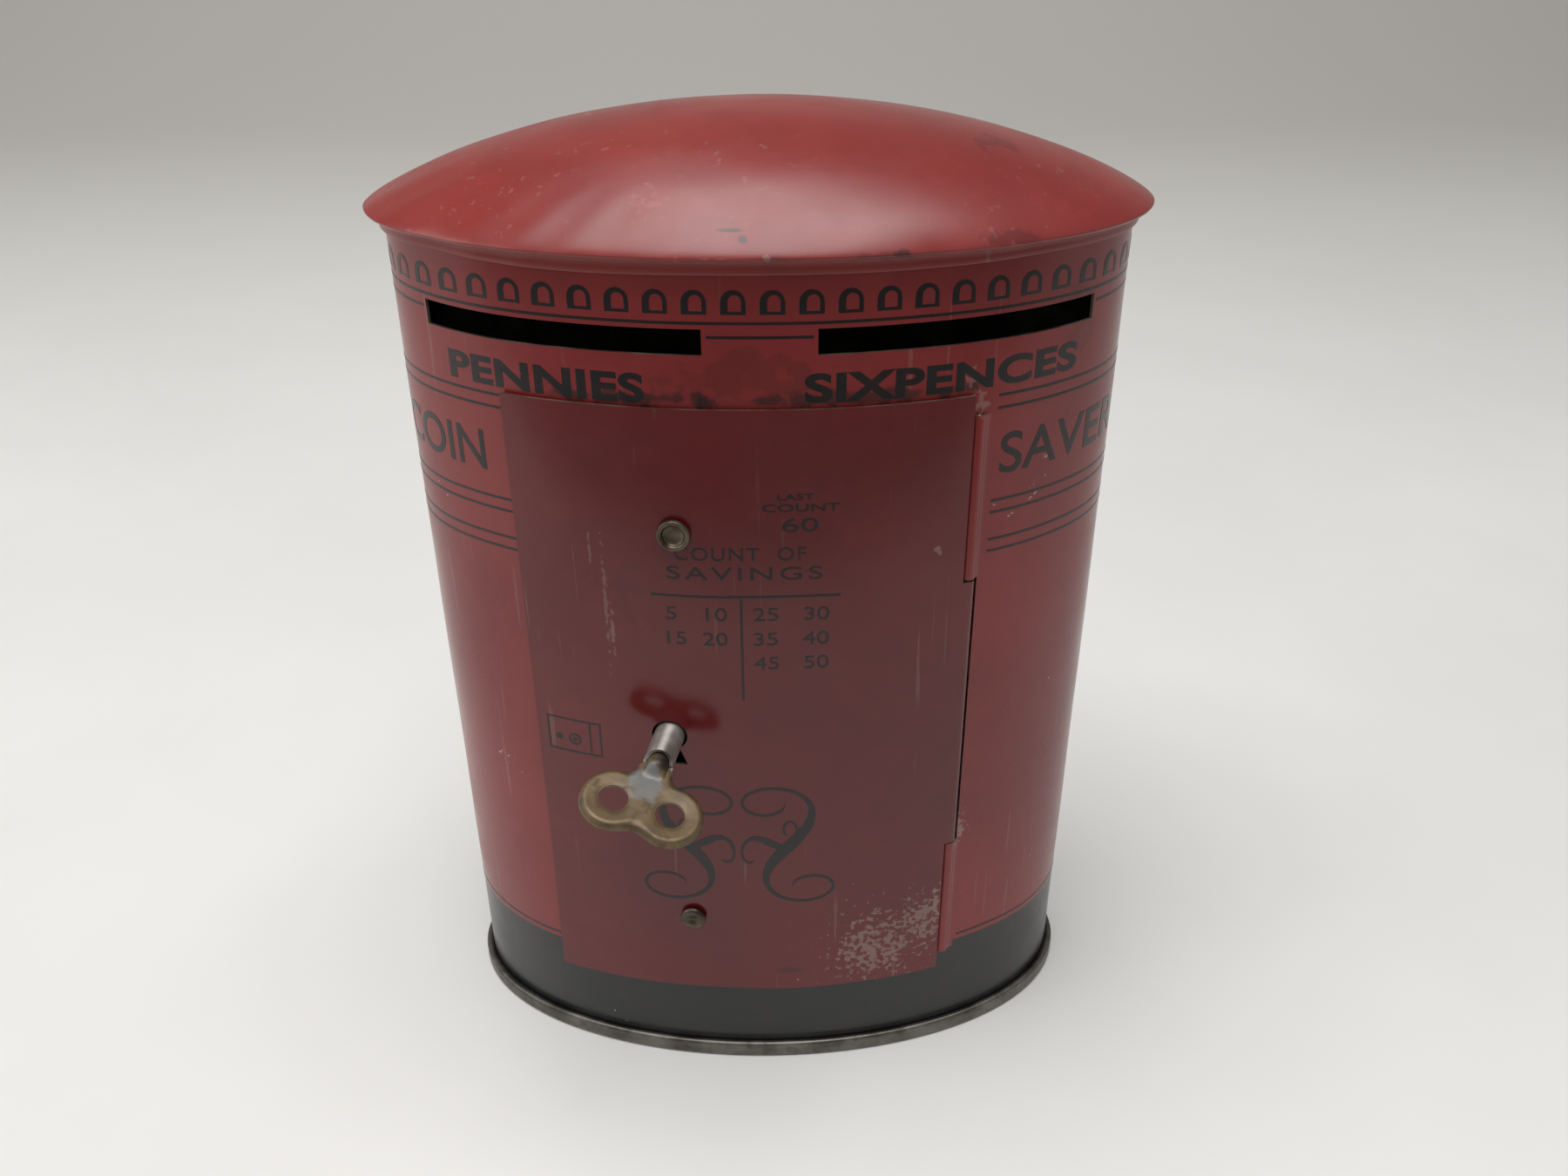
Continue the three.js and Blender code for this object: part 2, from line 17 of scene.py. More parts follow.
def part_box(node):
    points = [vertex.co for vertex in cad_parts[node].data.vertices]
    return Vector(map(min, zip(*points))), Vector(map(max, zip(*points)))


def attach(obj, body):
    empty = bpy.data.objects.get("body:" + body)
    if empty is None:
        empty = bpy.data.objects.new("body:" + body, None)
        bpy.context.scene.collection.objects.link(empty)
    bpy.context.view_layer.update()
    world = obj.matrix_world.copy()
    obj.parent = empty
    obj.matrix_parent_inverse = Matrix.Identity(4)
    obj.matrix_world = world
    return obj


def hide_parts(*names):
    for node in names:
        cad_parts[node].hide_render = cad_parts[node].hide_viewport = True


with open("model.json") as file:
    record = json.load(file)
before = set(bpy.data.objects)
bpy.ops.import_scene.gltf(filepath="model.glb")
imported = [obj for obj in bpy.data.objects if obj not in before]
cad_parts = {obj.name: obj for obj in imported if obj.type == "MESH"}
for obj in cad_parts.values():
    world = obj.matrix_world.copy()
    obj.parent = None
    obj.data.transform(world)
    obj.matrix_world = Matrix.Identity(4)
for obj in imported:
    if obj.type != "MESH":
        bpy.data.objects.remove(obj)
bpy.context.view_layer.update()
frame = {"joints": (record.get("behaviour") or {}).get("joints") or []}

# %% [markdown]
# ## Sizes
# Lengths in this lesson are millimetres, and turn into metres when a mesh is made. Whatever the frame
# already knows is measured from it: the oval, the lid's lip, the base seam, the door's edges, the pin
# and the key's seat. Only details too small for the frame, such as folds and print, are sized here.

# %% Measure the frame
MM = 0.001


def box_mm(node):
    """Lowest and highest corner of a frame node, in millimetres."""
    low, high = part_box(node)
    return np.array(low) / MM, np.array(high) / MM


wall_low, wall_high = box_mm("body_wall")
lid_low, lid_high = box_mm("lid")
base_low, base_high = box_mm("base_pan")
door_low, door_high = box_mm("door")
pin_low, pin_high = box_mm("hinge_pin")
joints = {joint["name"]: joint for joint in frame["joints"]}

HALF_WIDTH = wall_high[0]
HALF_DEPTH = wall_high[1]
WALL_BOTTOM, WALL_TOP = wall_low[2], wall_high[2]
FLOOR, SEAM_TOP = base_low[2], base_high[2]
SEAM_OUT = base_high[0] - HALF_WIDTH
SKIRT_BOTTOM, LID_TOP = lid_low[2], lid_high[2]
LIP_OUT = lid_high[0] - HALF_WIDTH
DOOR_BOTTOM, DOOR_TOP = door_low[2], door_high[2]
HINGE = np.array(joints["door_hinge"]["pos_m"])[:2] / MM
KEY_SEAT = np.array(joints["key_turn"]["pos_m"]) / MM
KEY_AXIS = -np.array(joints["key_turn"]["axis"])
print(f"oval {2 * HALF_WIDTH:.1f} x {2 * HALF_DEPTH:.1f} mm, lid top at {LID_TOP:.1f} mm")

# %% Sizes of the sheet and its details
SHEET = 0.4  # tinplate thickness
LIP_HEIGHT = WALL_TOP + 0.7
DOOR_OUT = 0.7  # the door's printed face, outside the wall's
OPEN_BOTTOM, OPEN_TOP = pin_low[2], pin_high[2]
TONGUE_BOTTOM, TONGUE_TOP = 39.8, 87.0
NOTCH_GAP = 0.3
SLOT_LENGTH, SLOT_BOTTOM, SLOT_TOP, SLOT_MIDDLE = 39.5, 122.0, 125.4, 27.0
BAND_TOP = 17.5  # top of the black band
RIVET_ALONG = -11.7

# %% [markdown]
# ## The oval as a ruler
# Everything on the wall is placed by its distance round the oval from the middle of the front, and by
# its height. An ellipse has no simple formula for that distance, so it is summed once along a fine
# table of turns, and read backwards with `np.interp`.

# %% Distance round the oval
TURNS = np.linspace(-math.pi, math.pi, 4097)
speed = np.hypot(HALF_WIDTH * np.cos(TURNS), HALF_DEPTH * np.sin(TURNS))
LENGTHS = np.concatenate([[0], np.cumsum((speed[1:] + speed[:-1]) / 2 * np.diff(TURNS))])
LENGTHS -= LENGTHS[len(LENGTHS) // 2]
GIRTH = LENGTHS[-1] - LENGTHS[0]


def turn_at(along):
    """Turn from the front's middle whose distance round the oval is `along`."""
    return np.interp((along - LENGTHS[0]) % GIRTH + LENGTHS[0], LENGTHS, TURNS)


def oval(turn, out):
    """Point (a sin turn, -b cos turn), moved `out` along the oval's normal."""
    normal = np.stack([HALF_DEPTH * np.sin(turn), -HALF_WIDTH * np.cos(turn)], -1)
    normal /= np.linalg.norm(normal, axis=-1, keepdims=True)
    point = np.stack([HALF_WIDTH * np.sin(turn), -HALF_DEPTH * np.cos(turn)], -1)
    return point + np.asarray(out)[..., None] * normal


def along_of(x, out):
    """Distance round the wall's front of the point that stands `out` from its face, at this x."""
    front = np.abs(TURNS) <= math.pi / 2
    return np.interp(x, oval(TURNS[front], out)[:, 0], LENGTHS[front])


HINGE_ALONG = along_of(HINGE[0], -0.3)
DOOR_LEFT = along_of(door_low[0], DOOR_OUT)
KEY_ALONG = along_of(KEY_SEAT[0], 0.0)
print(f"the door runs from {DOOR_LEFT:.1f} mm round the wall")
print(f"girth {GIRTH:.1f} mm, hinge {HINGE_ALONG:.1f} mm and key {KEY_ALONG:.1f} mm from the middle")

# %% [markdown]
# ## Hand-bent sheet
# Sheet rolled by hand is never dead true: its reflections sway a little. A few slow waves, a tenth of a
# millimetre at most, are added to the wall. They die out at the seams and at the hinge, where the
# sheet is held.

# %% Points on the wall
SWAY = 0.07


def sway(along, height):
    """Slow sine waves, whole numbers of them round the oval, that fade near the lid, base and hinge."""
    turn = 2 * math.pi * along / GIRTH
    waves = (
        np.sin(6 * turn + 0.7) * np.sin(height * 0.051 + 0.4)
        + 0.6 * np.sin(12 * turn + height * 0.043)
        + 0.4 * np.sin(height * 0.16 + 2 * turn)
    )
    held = np.clip((height - WALL_BOTTOM) / 12, 0, 1) * np.clip((WALL_TOP - height) / 12, 0, 1)
    free = 1 - np.exp(-(((along - HINGE_ALONG) / 7) ** 2))
    return SWAY * waves * held * free


def on_wall(along, height, out):
    """A point so far round, so high and so far outside the printed face."""
    along, height, out = np.broadcast_arrays(*(np.asarray(v, float) for v in (along, height, out)))
    flat = oval(turn_at(along), out + sway(along, height))
    return np.concatenate([flat, height[..., None]], -1)


def door_lift(along, height):
    """The door springs off the wall a little at its free edge, most at the lower corner."""
    from_edge = along - DOOR_LEFT
    corner = 0.3 * np.exp(-((from_edge / 16) ** 2) - ((height - DOOR_BOTTOM) / 22) ** 2)
    return corner + 0.1 * np.exp(-((from_edge / 9) ** 2))


def on_door(along, height, rise):
    """A point on the closed door, `rise` above its printed face."""
    return on_wall(along, height, DOOR_OUT + door_lift(along, height) + rise)


# %% [markdown]
# ## From arrays to meshes
# A piece is made of patches: an array of corner points and an array of faces that number them. Sheet
# metal is a `shell`: an outer face, the same face turned over at its thickness, and a rim along every
# free edge. Numpy finds the free edges as those that only one face uses.

# %% Grids, shells and lofts
def ticks(stops, step):
    """Numbers that pass through every stop, no more than a step apart."""
    stops = np.unique(np.round(np.asarray(stops, float), 4))
    runs = [
        np.linspace(low, high, max(1, math.ceil((high - low) / step)), endpoint=False)
        for low, high in zip(stops[:-1], stops[1:])
    ]
    return np.concatenate(runs + [stops[-1:]])


def cells_of(numbers, around=False, keep=None):
    """Four-cornered faces of a grid of point numbers. `around` joins the last column to the first."""
    if around:
        numbers = np.concatenate([numbers, numbers[:, :1]], 1)
    cells = np.stack([numbers[:-1, :-1], numbers[:-1, 1:], numbers[1:, 1:], numbers[1:, :-1]], -1)
    return cells.reshape(-1, 4) if keep is None else cells[keep]


def grid_of(points):
    """Numbers of the points of an array of rows and columns."""
    return np.arange(points.shape[0] * points.shape[1]).reshape(points.shape[:2])


def shell(outer, inner, cells, face=0, back=1, rim=2):
    """Closed sheet between two faces of the same cells, with a rim along each free edge."""
    outer, inner = outer.reshape(-1, 3), inner.reshape(-1, 3)
    count = len(outer)
    edges = np.stack([cells, np.roll(cells, -1, axis=1)], -1).reshape(-1, 2)
    free = edges[~np.isin(edges[:, 0] * count + edges[:, 1], edges[:, 1] * count + edges[:, 0])]
    sides = np.stack([free[:, 1], free[:, 0], free[:, 0] + count, free[:, 1] + count], -1)
    return np.concatenate([outer, inner]), [(cells, face), (cells[:, ::-1] + count, back), (sides, rim)]


def loft(rows, finish=0):
    """Rings carried one to the next. The first and last ring close on a point or on themselves."""
    return rows.reshape(-1, 3), [(cells_of(grid_of(rows), around=True), finish)]


# %% Build one mesh from its patches
def build(name, patches, materials, angle=35):
    """One object at the origin, with unused points dropped, doubles merged and edges kept sharp."""
    points, faces, finishes, start = [], [], [], 0
    for corners, groups in patches:
        points.append(corners)
        for cells, finish in groups:
            faces += (cells + start).tolist()
            finishes += np.broadcast_to(finish, len(cells)).tolist()
        start += len(corners)
    mesh = bpy.data.meshes.new(name)
    mesh.from_pydata(np.concatenate(points) * MM, [], faces)
    mesh.polygons.foreach_set("material_index", np.array(finishes, np.int32))
    for material in materials:
        mesh.materials.append(material)
    work = bmesh.new()
    work.from_mesh(mesh)
    bmesh.ops.delete(work, geom=[v for v in work.verts if not v.link_faces], context="VERTS")
    bmesh.ops.remove_doubles(work, verts=work.verts, dist=1e-7)
    bmesh.ops.dissolve_degenerate(work, edges=work.edges, dist=1e-8)
    volume = work.calc_volume(signed=True)
    work.to_mesh(mesh)
    work.free()
    mesh.shade_smooth()
    mesh.set_sharp_from_angle(angle=math.radians(angle))
    piece = bpy.data.objects.new(name, mesh)
    bpy.context.scene.collection.objects.link(piece)
    print(f"{name}: {len(mesh.polygons)} faces, {volume / MM**3:.1f} cubic mm")
    return piece


def fit(piece, body, slot, *nodes):
    """The piece rides on its body and stands for the frame's nodes, which are hidden. The slot is not used.
    """
    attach(piece, body)
    if nodes:
        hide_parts(*nodes)


# %% [markdown]
# ## Shared effects
# Old printed tin shows the same few things everywhere: cloudy tone, hairline scratches, small chips and
# local stains. Each is a node group with named inputs that gives one mask, so every finish can use it
# at its own strength. The shader itself stays in each material.

# %% Small helpers for node trees
def srgb(red, green, blue):
    """A screen colour, 0 to 255, as linear light."""
    levels = np.array([red, green, blue]) / 255
    linear = np.where(levels <= 0.04045, levels / 12.92, ((levels + 0.055) / 1.055) ** 2.4)
    return (*linear.tolist(), 1.0)


def put(tree, kind, values=(), **settings):
    """A node with its settings, and its inputs filled by name or number with values or links."""
    node = tree.nodes.new("ShaderNode" + kind)
    for key, value in settings.items():
        setattr(node, key, value)
    for key, value in dict(values).items():
        if isinstance(value, bpy.types.NodeSocket):
            tree.links.new(value, node.inputs[key])
        else:
            node.inputs[key].default_value = value
    return node


def maths(tree, operation, first, second=0.0):
    return put(tree, "Math", {0: first, 1: second}, operation=operation).outputs[0]


def mixed(tree, share, first, second):
    """Colour `first` giving way to `second` as the share goes from 0 to 1."""
    return put(tree, "Mix", {0: share, 6: first, 7: second}, data_type="RGBA").outputs[2]


def between(tree, value, low, high, to_low=0.0, to_high=1.0):
    """The value's place between low and high, smoothly, as a number from to_low to to_high."""
    inputs = {"Value": value, "From Min": low, "From Max": high, "To Min": to_low, "To Max": to_high}
    return put(tree, "MapRange", inputs, interpolation_type="SMOOTHSTEP").outputs[0]


def effect(name, inputs):
    """An empty node group that takes the inputs and gives Mask. Its patterns read Object coordinates."""
    tree = bpy.data.node_groups.new(name, "ShaderNodeTree")
    for label, value in inputs.items():
        kind = "NodeSocketFloat" if isinstance(value, float) else "NodeSocketVector"
        tree.interface.new_socket(label, in_out="INPUT", socket_type=kind).default_value = value
    tree.interface.new_socket("Mask", in_out="OUTPUT", socket_type="NodeSocketFloat")
    given = tree.nodes.new("NodeGroupInput").outputs
    place = tree.nodes.new("ShaderNodeTexCoord").outputs["Object"]
    return tree, given, place


def finish_effect(tree, mask):
    tree.links.new(mask, tree.nodes.new("NodeGroupOutput").inputs["Mask"])
    return tree


def use(tree, group, **values):
    """An effect placed in a material, with its own values. Gives its mask."""
    node = tree.nodes.new("ShaderNodeGroup")
    node.node_tree = group
    for key, value in values.items():
        node.inputs[key.replace("_", " ")].default_value = value
    return node.outputs["Mask"]


# %% Cloud: soft changes of tone
tree, given, place = effect("cloud", {"Scale": 40.0, "Low": 0.35, "High": 0.65})
noise = put(tree, "TexNoise", {"Vector": place, "Scale": given["Scale"], "Detail": 4.0, "Roughness": 0.6})
CLOUD = finish_effect(tree, between(tree, noise.outputs[0], given["Low"], given["High"]))

# %% Hairlines: noise drawn out along one direction, so that only thin streaks pass the threshold
tree, given, place = effect("hairlines", {"Stretch": (900.0, 900.0, 40.0), "Threshold": 0.66, "Seed": 0.0})
drawn = put(tree, "VectorMath", {0: place, 1: given["Stretch"]}, operation="MULTIPLY").outputs[0]
shift = put(tree, "VectorMath", {0: drawn, 1: given["Seed"]}, operation="ADD").outputs[0]
streak = put(tree, "TexNoise", {"Vector": shift, "Scale": 1.0, "Detail": 1.0}).outputs[0]
region = put(tree, "TexNoise", {"Vector": place, "Scale": 45.0, "Detail": 2.0}).outputs[0]
streak = between(tree, streak, given["Threshold"], maths(tree, "ADD", given["Threshold"], 0.05))
HAIRLINES = finish_effect(tree, maths(tree, "MULTIPLY", streak, between(tree, region, 0.45, 0.62)))

# %% Chips: small ragged flecks, thinned out by a larger pattern
tree, given, place = effect("chips", {"Scale": 700.0, "Amount": 0.3, "Seed": 0.0})
moved = put(tree, "VectorMath", {0: place, 1: given["Seed"]}, operation="ADD").outputs[0]
fine = put(tree, "TexNoise", {"Vector": moved, "Scale": given["Scale"], "Detail": 3.0}).outputs[0]
coarse = put(tree, "TexNoise", {"Vector": moved, "Scale": 55.0, "Detail": 2.0}).outputs[0]
chance = maths(tree, "ADD", maths(tree, "MULTIPLY", coarse, 0.6), maths(tree, "MULTIPLY", fine, 0.6))
edge = maths(tree, "SUBTRACT", 0.86, maths(tree, "MULTIPLY", given["Amount"], 0.3))
CHIPS = finish_effect(tree, between(tree, chance, edge, maths(tree, "ADD", edge, 0.02)))

# %% Spot: one stain or rub at a chosen place, with a ragged edge
SPOT_INPUTS = {"Centre": (0.0, 0.0, 0.0), "Size": (0.01, 0.01, 0.01), "Ragged": 0.5, "Grain": 300.0}
tree, given, place = effect("spot", SPOT_INPUTS)
offset = put(tree, "VectorMath", {0: place, 1: given["Centre"]}, operation="SUBTRACT").outputs[0]
offset = put(tree, "VectorMath", {0: offset, 1: given["Size"]}, operation="DIVIDE").outputs[0]
distance = put(tree, "VectorMath", {0: offset}, operation="LENGTH").outputs["Value"]
grain = put(tree, "TexNoise", {"Vector": place, "Scale": given["Grain"], "Detail": 4.0}).outputs[0]
grain = maths(tree, "MULTIPLY", maths(tree, "SUBTRACT", grain, 0.5), given["Ragged"])
reach = maths(tree, "ADD", distance, maths(tree, "MULTIPLY", grain, 4.0))
SPOT = finish_effect(tree, between(tree, reach, 0.5, 1.0, 1.0, 0.0))
print("effects:", [group.name for group in (CLOUD, HAIRLINES, CHIPS, SPOT)])

# %% [markdown]
# ## Finishes
# The print is glossy red lacquer over tin, worn through to pale metal where the box was handled. A
# Principled shader without metal gives the lacquer, because its reflections are white, and the worn
# places turn metallic through their mask. Marks are listed with each material as places on the sheet.

# %% Start a finish and close it
def new_finish(name):
    material = bpy.data.materials.new(name)
    material.use_nodes = True
    tree = material.node_tree
    shader = tree.nodes["Principled BSDF"]
    return material, tree, shader


def grain_bump(tree, shader, scale, strength, distance=0.00005, height=None):
    """Fine unevenness of the surface: noise, or a given height, as the shader's normal."""
    place = tree.nodes.new("ShaderNodeTexCoord").outputs["Object"]
    if height is None:
        noise = {"Vector": place, "Scale": scale, "Detail": 3.0}
        height = put(tree, "TexNoise", noise).outputs[0]
    bump = put(tree, "Bump", {"Height": height, "Strength": strength, "Distance": distance})
    tree.links.new(bump.outputs[0], shader.inputs["Normal"])


PALE_METAL = srgb(176, 168, 158)
STAIN = srgb(34, 16, 15)


# %% Red lacquer
def red_lacquer(name, light, deep, rough, marks=(), worn=0.12, grime=0.1):
    """Two reds in clouds, then stains, hairlines, chips and the listed marks on top."""
    material, tree, shader = new_finish(name)
    colour = mixed(tree, use(tree, CLOUD, Scale=28.0, Low=0.3, High=0.7), deep, light)
    smut = maths(tree, "MULTIPLY", use(tree, CLOUD, Scale=110.0, Low=0.5, High=0.75), grime)
    colour = mixed(tree, smut, colour, STAIN)
    rubs = use(tree, HAIRLINES, Threshold=0.685, Seed=3.0)
    rubs = maths(tree, "MULTIPLY", rubs, 0.1)
    colour = mixed(tree, rubs, colour, PALE_METAL)
    specks = use(tree, CHIPS, Scale=900.0, Amount=worn, Seed=0.37)
    bare = maths(tree, "MULTIPLY", specks, 0.75)
    for place, size, tone, strength, ragged in marks:
        grain = 1100.0 if tone == "bare" else 300.0
        reach = tuple(np.array(size) * MM)
        spot = use(tree, SPOT, Centre=tuple(place * MM), Size=reach, Ragged=ragged, Grain=grain)
        spot = maths(tree, "MULTIPLY", spot, strength)
        if tone == "bare":
            bare = maths(tree, "MAXIMUM", bare, spot)
        else:
            colour = mixed(tree, spot, colour, STAIN if tone == "stain" else light)
    colour = mixed(tree, bare, colour, PALE_METAL)
    tree.links.new(colour, shader.inputs["Base Color"])
    haze = use(tree, CLOUD, Scale=65.0, Low=0.35, High=0.7)
    gloss = maths(tree, "ADD", maths(tree, "MULTIPLY", haze, 0.1), rough)
    tree.links.new(maths(tree, "ADD", gloss, maths(tree, "MULTIPLY", bare, 0.15)), shader.inputs["Roughness"])
    tree.links.new(maths(tree, "MULTIPLY", bare, 0.6), shader.inputs["Metallic"])
    grain_bump(tree, shader, 420.0, 0.12)
    return material


# %% Marks of wear, each as a place, a size, a tone, a strength and how ragged it is
def at_wall(along, height):
    return on_wall(along, height, 0.0)


WALL_MARKS = [
    (at_wall(30.6, 41.8), (1.2, 2.0, 2.8), "bare", 0.35, 1.4),
    (at_wall(29.4, 113.6), (1.0, 1.5, 1.8), "bare", 0.25, 1.2),
    (at_wall(-17.0, 116.0), (16.0, 6.0, 1.3), "stain", 0.75, 0.8),
    (at_wall(12.0, 116.0), (22.0, 6.0, 1.2), "stain", 0.7, 0.8),
    (at_wall(27.4, 117.4), (0.9, 2.0, 1.2), "bare", 0.2, 1.2),
    (at_wall(-2.0, 119.0), (9.0, 6.0, 3.5), "stain", 0.25, 0.9),
    (at_wall(44.0, 123.0), (4.0, 4.0, 6.0), "stain", 0.25, 0.8),
]
DOOR_MARKS = [
    (on_door(17.5, 20.5, 0), (4.2, 3.0, 4.4), "bare", 0.3, 2.4),
    (on_door(25.2, 24.5, 0), (2.6, 3.0, 3.4), "bare", 0.3, 2.4),
    (on_door(27.2, 27.5, 0), (0.8, 2.0, 2.6), "bare", 0.35, 1.6),
    (on_door(-21.9, 85.5, 0), (0.28, 2.0, 9.5), "bare", 0.16, 1.1),
    (on_door(-21.2, 81.0, 0), (0.3, 2.0, 4.0), "bare", 0.2, 1.1),
    (on_door(-23.6, 93.5, 0), (0.22, 2.0, 3.4), "bare", 0.14, 0.9),
    (on_door(3.6, 17.2, 0), (2.0, 2.0, 0.8), "stain", 0.4, 0.6),
    (on_door(-18.6, 88.0, 0), (2.2, 2.0, 5.0), "stain", 0.16, 1.0),
    (on_door(24.0, 93.0, 0), (0.5, 2.0, 0.9), "bare", 0.25, 1.2),
]
WALL_RED = red_lacquer("wall_red", srgb(134, 40, 40), srgb(116, 31, 33), 0.2, WALL_MARKS)
# The door's red is a darker copy of the wall's red: painted shade on the front-facing door.
DOOR_RED_PAINTED_SHADE = red_lacquer("door_red_painted_shade", srgb(104, 26, 28), srgb(88, 19, 22), 0.15, DOOR_MARKS, grime=0.14)


# %% Black band, ink, and the metals
def lacquer_black(name, tone, rough, red_share):
    """Near-black lacquer or ink. A little red shows through where the coat is thin."""
    material, tree, shader = new_finish(name)
    thin = maths(tree, "MULTIPLY", use(tree, CLOUD, Scale=240.0, Low=0.45, High=0.75), red_share)
    colour = mixed(tree, thin, tone, srgb(120, 28, 32))
    flecks = maths(tree, "MULTIPLY", use(tree, CHIPS, Scale=1000.0, Amount=0.12, Seed=0.71), 0.6)
    colour = mixed(tree, flecks, colour, PALE_METAL)
    tree.links.new(colour, shader.inputs["Base Color"])
    gloss = maths(tree, "MULTIPLY", use(tree, CLOUD, Scale=70.0, Low=0.3, High=0.7), 0.12)
    tree.links.new(maths(tree, "ADD", gloss, rough), shader.inputs["Roughness"])
    grain_bump(tree, shader, 420.0, 0.12)
    return material


def bare_metal(name, light, dark, rough, streak=(60.0, 60.0, 900.0), rust=0.0, metallic=0.9):
    """Plain metal: brushed streaks between two tones, cloudy tarnish, and rust in the dark places."""
    material, tree, shader = new_finish(name)
    shader.inputs["Metallic"].default_value = metallic
    brushed = use(tree, HAIRLINES, Stretch=streak, Threshold=0.5)
    cloudy = use(tree, CLOUD, Scale=130.0, Low=0.3, High=0.7)
    colour = mixed(tree, cloudy, dark, light)
    colour = mixed(tree, maths(tree, "MULTIPLY", brushed, 0.35), colour, light)
    rusty = maths(tree, "MULTIPLY", use(tree, CLOUD, Scale=420.0, Low=0.52, High=0.7), rust)
    colour = mixed(tree, rusty, colour, srgb(62, 42, 28))
    tree.links.new(colour, shader.inputs["Base Color"])
    gloss = maths(tree, "ADD", maths(tree, "MULTIPLY", cloudy, 0.14), rough)
    gloss = maths(tree, "ADD", gloss, maths(tree, "MULTIPLY", rusty, 0.2))
    tree.links.new(gloss, shader.inputs["Roughness"])
    grain_bump(tree, shader, 700.0, 0.15)
    return material


BAND_BLACK = lacquer_black("band_black", srgb(30, 31, 32), 0.22, 0.03)
INK = lacquer_black("printing_ink", srgb(13, 9, 10), 0.2, 0.05)
INNER_TIN = bare_metal("inner_tin", srgb(150, 146, 138), srgb(104, 100, 94), 0.38)
CUT_EDGE = bare_metal("cut_edge", srgb(190, 180, 165), srgb(120, 108, 96), 0.35, rust=0.4)
SEAM_STEEL = bare_metal("seam_steel", srgb(128, 124, 118), srgb(78, 75, 71), 0.34, rust=0.35)
WIRE_STEEL = bare_metal("wire_steel", srgb(160, 156, 150), srgb(110, 106, 100), 0.3, rust=0.2)
RIVET_STEEL = bare_metal("rivet_steel", srgb(128, 116, 100), srgb(66, 57, 48), 0.36, rust=0.55)
LATCH_STEEL = bare_metal("latch_steel", srgb(140, 136, 130), srgb(92, 88, 84), 0.36, rust=0.25)
KEY_STEEL = bare_metal("key_steel", srgb(205, 202, 194), srgb(150, 146, 138), 0.36, rust=0.1)

# %% [markdown]
# ## The wall
# On the real box one printed sheet is rolled to an oval and locked along a seam at the back. Slots and
# the door's opening are punched before rolling. Here it is one grid round the oval whose lines fall
# exactly on the edges of the holes, and the cells inside the holes are left out. Two fine grooves mark
# the lock seam. At the hinge the sheet's edge is rolled round the pin, a curl above and one below.

# %% The wall's sheet
CURL_START = HINGE_ALONG + 2.0  # where the sheet lifts off to roll round the pin
NOTCH_EDGE = HINGE_ALONG + 1.3
OPEN_LEFT = DOOR_LEFT + 3.0
SEAM_HALF = 2.5
slot_edges = [side * SLOT_MIDDLE + half * SLOT_LENGTH / 2 for side in (-1, 1) for half in (-1, 1)]
seam_edges = [side * (GIRTH / 2 - SEAM_HALF + step) for side in (-1, 1) for step in (-0.4, -0.2, 0, 0.2, 0.4)]
stops = [-GIRTH / 2, GIRTH / 2, OPEN_LEFT, NOTCH_EDGE, CURL_START, *slot_edges, *seam_edges]
columns = ticks(stops, 1.1)[:-1]
notch = (TONGUE_BOTTOM - NOTCH_GAP, TONGUE_TOP + NOTCH_GAP)
rows = ticks([WALL_BOTTOM, WALL_TOP, BAND_TOP, OPEN_BOTTOM, OPEN_TOP, SLOT_BOTTOM, SLOT_TOP, *notch], 2.0)


def inside(values, low, high):
    return (values > low) & (values < high)


def seam_groove(along):
    """Two fine grooves, one along each edge of the folded seam at the back."""
    off = np.abs(np.abs(along) - GIRTH / 2 + SEAM_HALF)
    return -0.16 * np.exp(-((off / 0.2) ** 2))


s, z = np.meshgrid(columns, rows)
middle_s = np.append(columns, GIRTH / 2)
middle_s, middle_z = np.meshgrid((middle_s[:-1] + middle_s[1:]) / 2, (rows[:-1] + rows[1:]) / 2)
right_edge = np.where(inside(middle_z, *notch), NOTCH_EDGE, CURL_START)
opening = inside(middle_s, OPEN_LEFT, right_edge) & inside(middle_z, OPEN_BOTTOM, OPEN_TOP)
slots = inside(np.abs(middle_s), SLOT_MIDDLE - SLOT_LENGTH / 2, SLOT_MIDDLE + SLOT_LENGTH / 2)
slots &= inside(middle_z, SLOT_BOTTOM, SLOT_TOP)
keep = ~(opening | slots)
outer = on_wall(s, z, seam_groove(s))
cells = cells_of(grid_of(outer), around=True, keep=keep)
wall_finish = np.where(middle_z < BAND_TOP, 1, 0)[keep]
wall_sheet = shell(outer, on_wall(s, z, -SHEET), cells, face=wall_finish, back=2, rim=3)

# %% The curls round the pin
hinge_turn = turn_at(HINGE_ALONG)
OUTWARD = np.append(oval(hinge_turn, 1.0) - oval(hinge_turn, 0.0), 0.0)
RIGHTWARD = np.array([-OUTWARD[1], OUTWARD[0], 0.0])
PIN_PLACE = np.append(HINGE, 0.0)
CURL_INNER, CURL_OUTER = 0.6, 1.0


def round_pin(angle, radius, height):
    """A point about the pin: the angle starts to the right and passes over the outside."""
    angle, radius, height = np.broadcast_arrays(angle, radius, height)
    across = radius * np.cos(angle)
    out = radius * np.sin(angle)
    lift = np.stack([np.zeros_like(across), np.zeros_like(across), height], -1)
    return PIN_PLACE + across[..., None] * RIGHTWARD + out[..., None] * OUTWARD + lift


